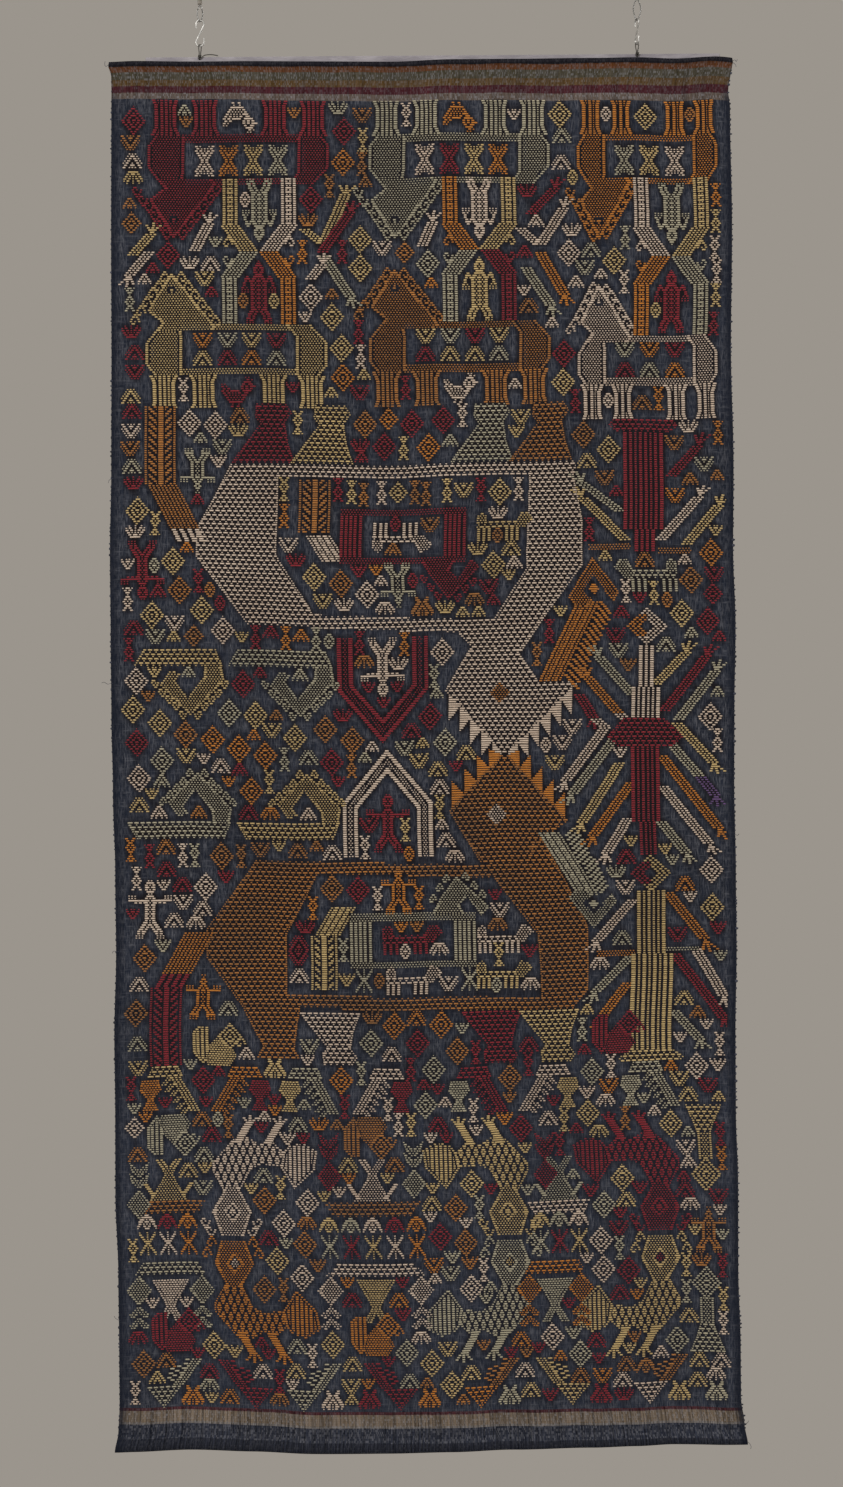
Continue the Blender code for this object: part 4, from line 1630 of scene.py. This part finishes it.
def wires(name, lines, radius, material, sides=3, taper=None):
    """One closed mesh of round wires along lines of points in millimetres."""
    curve = bpy.data.curves.new(name, "CURVE")
    curve.dimensions = "3D"
    curve.bevel_depth = radius * MM
    curve.bevel_resolution = sides
    curve.use_fill_caps = True
    for points in lines:
        spline = curve.splines.new("POLY")
        spline.points.add(len(points) - 1)
        for i, (target, point) in enumerate(zip(spline.points, points)):
            target.co = (*(value * MM for value in point), 1.0)
            if taper and i in (0, len(points) - 1):
                target.radius = taper
    scratch = linked(name, curve)
    depsgraph = bpy.context.evaluated_depsgraph_get()
    mesh = bpy.data.meshes.new_from_object(scratch.evaluated_get(depsgraph))
    bpy.data.objects.remove(scratch)
    shape = bmesh.new()
    shape.from_mesh(mesh)
    bmesh.ops.remove_doubles(shape, verts=shape.verts, dist=1e-6)
    shape.to_mesh(mesh)
    shape.free()
    mesh.name = name
    mesh.materials.clear()
    mesh.materials.append(material)
    mesh.shade_smooth()
    mesh.set_sharp_from_angle(angle=math.radians(50))
    return linked(name, mesh)


def hook_line(hanger):
    """The S-hook's centre line from its upper tip to its lower tip."""
    reach = HOOK_HEIGHT / 2 - HOOK_BEND_RADIUS
    lean = math.asin(HOOK_BEND_RADIUS / reach)
    upper = [Vector((-HOOK_BEND_RADIUS, 0.0, reach - HOOK_TIP))]
    for i in range(HOOK_STEPS + 1):
        angle = math.pi + (-lean - math.pi) * i / HOOK_STEPS
        offset = Vector((math.cos(angle), 0.0, math.sin(angle))) * HOOK_BEND_RADIUS
        upper.append(Vector((0.0, 0.0, reach)) + offset)
    half_turn = Matrix.Rotation(math.pi, 3, "Y")
    line = upper + [half_turn @ point for point in reversed(upper)]
    turn = Matrix.Rotation(math.radians(hanger.hook_turn), 3, "Z")
    shift = Vector((hanger.side * HANGER_X, 0.0, hanger.hook_z))
    return [shift + turn @ point for point in line]


def cable_line(hanger):
    """From the cap down through the ferrule, round the hook's upper bend and back up."""
    x = hanger.side * HANGER_X
    low = hanger.hook_z + HOOK_HEIGHT / 2 - HOOK_WIRE_RADIUS - GAP - CABLE_RADIUS
    sleeve = hanger.ferrule_z
    height = sleeve - low
    near, side, wide = hanger.splay_y, hanger.splay_x, hanger.spread
    leg = [
        (side * 0.8, near * 0.85, low + 0.45),
        (side * 1.1, near * 1.05, low + 1.6),
        (wide, near * 0.8, low + height * 0.42),
        (wide * 0.85, near * 0.4, low + height * 0.68),
        (LEG_OFFSET * 1.3, 0.0, sleeve - 1.2),
        (LEG_OFFSET, 0.0, sleeve + 0.6),
    ]
    right_leg = [(x + px, py, pz) for px, py, pz in leg]
    left_leg = [(x - px, -py, pz) for px, py, pz in leg]
    start = (x + LEG_OFFSET, 0.0, -CAP_HEIGHT - GAP)
    end = (x - LEG_OFFSET, 0.0, sleeve + FERRULE_HEIGHT - 1.0)
    return smooth([start, *reversed(right_leg), (x, 0.0, low), *left_leg, end], 0.3)


def strands(line):
    """Helical lines round a cable's centre line, one for each strand, and its core."""
    across = Vector((0.0, 1.0, 0.0))
    lines = [[] for _ in range(STRANDS)]
    length = 0.0
    for i, point in enumerate(line):
        ahead = (line[min(i + 1, len(line) - 1)] - line[max(i - 1, 0)]).normalized()
        across = (across - ahead * across.dot(ahead)).normalized()
        side = ahead.cross(across)
        if i:
            length += (point - line[i - 1]).length
        for k in range(STRANDS):
            angle = 2 * math.pi * (k / STRANDS + length / STRAND_LAY)
            round_it = across * math.cos(angle) + side * math.sin(angle)
            lines[k].append(point + round_it * STRAND_RADIUS * 2)
    return lines + [line[::3]]


def hole_height(x):
    """How high the batten's hole for a wire is."""
    return BATTEN_TOP_Z + math.tan(BATTEN_SLOPE) * (x - BATTEN_MIDDLE_X) - HOLE_BELOW_TOP


TAILS = {
    "left": ((0.7, 0.05, 0.3), (2.0, 0.1, 1.7), (4.0, 0.1, 2.9), (8.6, 0.1, 3.2), (13.3, 0.1, 2.5)),
    "right": ((0.6, 0.05, 0.2), (1.1, 0.1, 0.9)),
}


def loop_line(hanger):
    """From the loose end up the front, over the hook's lower bend, down the back and through the hole."""
    x = hanger.side * HANGER_X
    hole = hole_height(x)
    high = hanger.hook_z - HOOK_HEIGHT / 2 + HOOK_WIRE_RADIUS + GAP + LOOP_WIRE_RADIUS
    face = LOOP_FACE
    side, near = hanger.splay_x, hanger.splay_y
    leg = [
        (side * 0.75, near * 0.85, high - 0.45),
        (side, near * 1.05, high - 1.5),
        (side * 0.85, near + 0.2, high - 3.5),
        (side * 0.5, face * 0.62, high - 6.0),
        (0.35, face, hole + 2.0),
    ]
    front = [(x - px, -py, pz) for px, py, pz in leg]
    back = [(x + px, py, pz) for px, py, pz in leg]
    loose_end = (x - 1.0, -face, hole - 0.1)
    through = [(x + 0.05, face, hole + 0.5), (x, face - 0.5, hole), (x, 0.0, hole), (x, 0.4 - face, hole)]
    tail = [(x + px, -face - py, hole + pz) for px, py, pz in TAILS[hanger.name]]
    return smooth([loose_end, *reversed(front), (x, 0.0, high), *back, *through, *tail], 0.35)


def wire_knot(hanger):
    """Turns of the loop's wire round itself, just above the batten's hole."""
    x = hanger.side * HANGER_X
    line = []
    for i in range(KNOT_STEPS + 1):
        share = i / KNOT_STEPS
        angle = share * KNOT_TURNS * 2 * math.pi
        radius = KNOT_RADIUS + KNOT_CHANGE * math.sin(angle * KNOT_SWINGS)
        across = x + KNOT_ASIDE + radius * math.cos(angle)
        near = -LOOP_FACE - KNOT_ASIDE + KNOT_DEPTH * math.sin(angle)
        line.append(Vector((across, near, hole_height(x) + KNOT_FOOT + share * KNOT_HEIGHT)))
    return line


def ringed(name, rings, material, sharp, looped=False):
    """A closed mesh through rings of points in millimetres, with flat ends or back to its start."""
    count, sides = len(rings), len(rings[0])
    faces = []
    for i in range(count if looped else count - 1):
        onwards = (i + 1) % count * sides - i * sides
        for k in range(sides):
            a, b = i * sides + k, i * sides + (k + 1) % sides
            faces.append((a, b, b + onwards, a + onwards))
    if not looped:
        faces.append(tuple(range(sides))[::-1])
        faces.append(tuple((count - 1) * sides + k for k in range(sides)))
    points = [[value * MM for value in point] for ring in rings for point in ring]
    made = mesh_object(name, points, faces, material)
    made.data.set_sharp_from_angle(angle=math.radians(sharp))
    return made


# The cap's rings from its foot up: their radius, and how high they are from its foot or its top
CAP_LOWER = "1.5,0 2.4,0.3 3.2,1.1 3.5,2.0 3.5,3.6 3.9,3.9 4.3,4.2 4.5,4.5 4.5,5.9 4.3,6.1 4.3,6.4 4.5,6.6"
CAP_UPPER = "4.5,-0.5 4.2,-0.1 4.0,0.0"
CAP_PROFILE = [(radius, up - CAP_HEIGHT) for radius, up in corners(CAP_LOWER)] + corners(CAP_UPPER)


def make_cap(hanger, material):
    """A turned collar with a groove and a domed foot that the cable enters."""
    x = hanger.side * HANGER_X + LEG_OFFSET
    angles = [2 * math.pi * k / CAP_SIDES for k in range(CAP_SIDES)]
    rings = [[(x + radius * math.cos(angle), radius * math.sin(angle), height) for angle in angles]
             for radius, height in CAP_PROFILE]
    return ringed(f"turned_cap_{hanger.name}", rings, material, 35)


def sleeve_ring(hanger, half_width, half_depth, z):
    """A rounded oblong across the ferrule."""
    ring = []
    for k in range(FERRULE_SIDES):
        angle = 2 * math.pi * k / FERRULE_SIDES
        c, s = math.cos(angle), math.sin(angle)
        stretch = (abs(c) ** 3 + abs(s) ** 3) ** (-1 / 3)
        ring.append((hanger.side * HANGER_X + half_width * c * stretch, half_depth * s * stretch, z))
    return ring


def make_ferrule(hanger, material):
    """A crimped oval sleeve: an outer wall with three pressed waists, and a smooth bore."""
    bore_width = LEG_OFFSET + CABLE_RADIUS + GAP * BORE_SLACK
    bore_depth = CABLE_RADIUS + GAP * BORE_SLACK
    rings = []
    for i in range(FERRULE_LEVELS + 1):
        share = i / FERRULE_LEVELS
        press = 1 - FERRULE_PRESS * max(0.0, math.cos(share * 2 * math.pi * FERRULE_WAISTS + math.pi)) ** 2
        wall = FERRULE_WALL * min(1.0, FERRULE_END_WALL + FERRULE_END_RISE * min(share, 1 - share))
        wide = (bore_width + wall) * press
        deep = (bore_depth + wall) * (2 - press) * FERRULE_DEPTH_SHARE
        rings.append(sleeve_ring(hanger, wide, deep, hanger.ferrule_z + share * FERRULE_HEIGHT))
    for z in (FERRULE_HEIGHT, 0.0):
        wide, deep = bore_width * BORE_SHARE, bore_depth * BORE_SHARE
        rings.append(sleeve_ring(hanger, wide, deep, hanger.ferrule_z + z))
    return ringed(f"crimped_sleeve_{hanger.name}", rings, material, 40, looped=True)


# The edges

Edge = namedtuple("Edge", "u pitch size")
NUB_EDGES = (Edge(0.0, 4.6, 0.5), Edge(1.0, 4.2, 0.75))
NUB_SEED = 11
NUBS_FROM, NUBS_TO = 9.0, 990
NUB_LEAST, NUB_VARIED, NUB_MOST = 0.6, 0.5, 2.2
NUB_HEIGHTS = (0.5, 1.3)
NUB_SPACINGS = (0.5, 1.6)
NUB_DEPTH = 0.5
NUB_LIFT = 0.55


def make_nubs(material):
    """Small knobs where the weft turns at the selvedges."""
    draw = np.random.default_rng(NUB_SEED)
    ball = bmesh.new()
    bmesh.ops.create_icosphere(ball, subdivisions=1, radius=1.0)
    ball_points = np.array([v.co[:] for v in ball.verts])
    ball_faces = np.array([[v.index for v in f.verts] for f in ball.faces])
    ball.free()
    points, faces = [], []
    for edge in NUB_EDGES:
        down = NUBS_FROM
        while down < NUBS_TO:
            width = edge.size * min(NUB_MOST, NUB_LEAST + draw.exponential(NUB_VARIED))
            stretch = np.array([width, NUB_DEPTH, draw.uniform(*NUB_HEIGHTS)])
            faces.append(ball_faces + len(points) * len(ball_points))
            points.append((ball_points * stretch + cloth_spot(edge.u, down, NUB_LIFT)) * MM)
            down += edge.pitch * draw.uniform(*NUB_SPACINGS)
    return mesh_object("selvedge_turns", np.concatenate(points), np.concatenate(faces), material)


Thread = namedtuple("Thread", "u down route")
THREADS = (
    Thread(0.0, 447.0, "0,0 -2.5,-0.6 -5.0,0.8 -6.8,0.2"),
    Thread(0.0, 300.0, "0,0 -1.4,-1.0 -2.2,-3.0"),
    Thread(0.0, 640.0, "0,0 -1.8,0.4 -2.6,-1.2"),
    Thread(0.0, 905.0, "0,0 -2.2,1.2 -3.4,3.0"),
    Thread(0.0, 2.0, "0,0 -2.0,-1.2 -2.8,0.6 -2.4,2.4"),
    Thread(1.0, 2.2, "0,0 1.6,0.8 2.6,-0.6 3.4,1.2"),
    Thread(1.0, 3.4, "0,0 1.8,-1.4 2.4,-3.2"),
    Thread(1.0, 560.0, "0,0 1.6,-0.8 2.8,0.4"),
    Thread(1.0, 998.0, "0,0 1.4,-1.4 2.4,-3.4 2.0,-5.0"),
    Thread(1.0, 985.0, "0,0 1.8,0.6 3.0,2.4"),
)
THREAD_RADIUS = 0.16
THREAD_START = 1.5
THREAD_LIFT = 0.6
THREAD_OUT, THREAD_ONWARDS = 0.4, 0.2
LOOSE_STEPS = 59
LOOSE_DOWN = 937.0
LOOSE_FROM, LOOSE_SPAN = 0.74, 0.25
LOOSE_SWINGS = ((1.2, 9), (0.5, 31))
LOOSE_LIFT, LOOSE_RISE, LOOSE_RISES = 1.35, 0.35, 17


def make_threads(material):
    """Loose thread ends at the edges, and one weft that lies loose across the lower right."""
    lines = []
    for thread in THREADS:
        x, y, z = cloth_spot(thread.u, thread.down, THREAD_LIFT)
        route = [(x + (THREAD_START if thread.u == 0 else -THREAD_START), y - THREAD_OUT, z)]
        for i, (px, pz) in enumerate(corners(thread.route)):
            route.append((x + px, y - THREAD_ONWARDS * i, z + pz))
        lines.append(smooth(route, 0.5))
    loose = []
    for i in range(LOOSE_STEPS + 1):
        share = i / LOOSE_STEPS
        down = LOOSE_DOWN
        for size, turns in LOOSE_SWINGS:
            down += size * math.sin(share * turns)
        lift = LOOSE_LIFT + LOOSE_RISE * math.sin(share * LOOSE_RISES) ** 2
        loose.append(Vector(cloth_spot(LOOSE_FROM + LOOSE_SPAN * share, down, lift)))
    return wires("loose_threads", lines + [loose], THREAD_RADIUS, material, sides=1)


# The scene round it, in metres

SCENE_MIDDLE = (0.0, 0.0, -0.55)
FLOOR_Z = -1.46


def make_camera():
    camera = bpy.data.cameras.new("camera")
    camera.sensor_fit = "VERTICAL"
    camera.sensor_height = SENSOR_HEIGHT
    camera.lens = SENSOR_HEIGHT * CAMERA_DISTANCE / PICTURE_HEIGHT
    camera.clip_start = CAMERA_NEAREST
    made = linked("camera", camera)
    away = CAMERA_DISTANCE + (BATTEN_HALF_DEPTH + FACE_FROM_BATTEN) * MM
    made.location = (PICTURE_CENTRE[0], -away, PICTURE_CENTRE[1])
    made.rotation_euler = (math.radians(90), 0.0, 0.0)
    bpy.context.scene.camera = made


def make_light(name, place, size, power):
    light = bpy.data.lights.new(name, "AREA")
    light.shape = "DISK"
    light.size = size
    light.energy = power
    made = linked(name, light)
    made.location = place
    made.rotation_euler = (Vector(SCENE_MIDDLE) - Vector(place)).to_track_quat("-Z", "Y").to_euler()


def make_stage():
    """A pale floor, an even pale surround and soft lights."""
    pale = Finish("pale_floor", 0.8)
    pale.feed(pale.shader, {"Base Color": linear((165, 160, 153))})
    ground = [(x, y, FLOOR_Z) for x, y in box(-2.2, -1.6, 2.2, 1.4)]
    mesh_object("floor", ground, [(0, 1, 2, 3)], pale.material)
    world = bpy.data.worlds.new("surround")
    world.use_nodes = True
    background = world.node_tree.nodes["Background"]
    background.inputs["Color"].default_value = linear((155, 149, 141))
    background.inputs["Strength"].default_value = 1.0
    bpy.context.scene.world = world
    bpy.context.scene.view_settings.view_transform = "Standard"
    make_light("key", (-1.6, -2.1, 0.9), 1.2, 62.0)
    make_light("fill", (1.9, -2.3, 0.1), 1.6, 40.0)
    make_light("rear", (0.6, 2.0, 0.3), 1.6, 22.0)


# Each yarn's slot, name, colour and darker colour
YARNS = {
    CREAM: ("cream_yarn", "cream", (196, 178, 160), (174, 154, 136)),
    RED: ("red_yarn", "red", (130, 37, 45), (105, 31, 40)),
    ORANGE: ("orange_yarn", "orange", (186, 117, 44), (146, 94, 44)),
    YELLOW: ("yellow_yarn", "yellow", (190, 165, 114), (152, 130, 88)),
    GREEN: ("green_yarn", "green", (168, 160, 136), (134, 129, 110)),
    BROWN: ("orange_yarn", "brown", (168, 110, 52), (116, 83, 53)),
    VIOLET: ("red_yarn", "violet", (96, 72, 112), (80, 62, 98)),
}


def settle(piece, slot, *nodes):
    """Fixes a piece to the hanging and hides the imported parts that it stands for. The slot is not used.
    """
    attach(piece, "root")
    if nodes:
        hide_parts(*nodes)
    return piece


def hang_cloth():
    """The cloth with its floats, its edges and its loose threads."""
    weave_chart()
    runs = float_runs()
    behind = reverse_runs(runs)
    sheet = settle(make_cloth(cloth_material()), "indigo_cotton", "cloth")
    attached = [
        settle(make_nubs(indigo_thread()), "indigo_cotton"),
        settle(make_threads(indigo_thread()), "indigo_cotton"),
    ]
    for yarn, (slot, name, colour, darker) in YARNS.items():
        material = yarn_material(f"{name}_yarn", colour, darker)
        for side, own, back in (("floats", runs, False), ("reverse", behind, True)):
            kept = own.yarn == yarn
            if kept.any():
                chosen = Runs(*(item[kept] for item in own))
                attached.append(settle(make_floats(f"{name}_{side}", chosen, material, yarn, back), slot))


def make_hangers():
    """Both hooks with their cables, ferrules, caps and wire loops."""
    steel = metal_material("steel_wire", (188, 186, 181), 0.42, (900.0, 900.0, 90.0), metallic=0.8)
    cable = metal_material("steel_cable", (150, 149, 146), 0.32, (900.0, 900.0, 900.0))
    dark = metal_material("dark_wire", (74, 71, 66), 0.5, (900.0, 900.0, 900.0), metallic=0.8)
    sleeve = metal_material("crimped_ferrule", (118, 112, 104), 0.5, (900.0, 900.0, 300.0))
    cap = metal_material("satin_cap", (170, 169, 166), 0.34, (120.0, 120.0, 4200.0))
    for hanger in HANGERS:
        own = hanger.name
        hook = wires(f"hook_{own}", [hook_line(hanger)], HOOK_WIRE_RADIUS, steel, 6, 0.8)
        settle(hook, "steel_wire", f"s_hook_{own}")
        lines = strands(cable_line(hanger))
        stranded = wires(f"stranded_cable_{own}", lines, STRAND_RADIUS, cable, 1)
        settle(stranded, "steel_cable", f"cable_{own}")
        loops = [loop_line(hanger), wire_knot(hanger)]
        twisted = wires(f"twisted_loop_{own}", loops, LOOP_WIRE_RADIUS, dark, 3)
        settle(twisted, "dark_wire", f"wire_loop_{own}")
        settle(make_ferrule(hanger, sleeve), "crimped_ferrule", f"ferrule_{own}")
        settle(make_cap(hanger, cap), "satin_cap", f"ceiling_cap_{own}")


def main():
    make_camera()
    make_stage()
    hang_cloth()
    make_hangers()
    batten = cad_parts["batten"]
    batten.data.materials.clear()
    batten.data.materials.append(tape_material())


main()
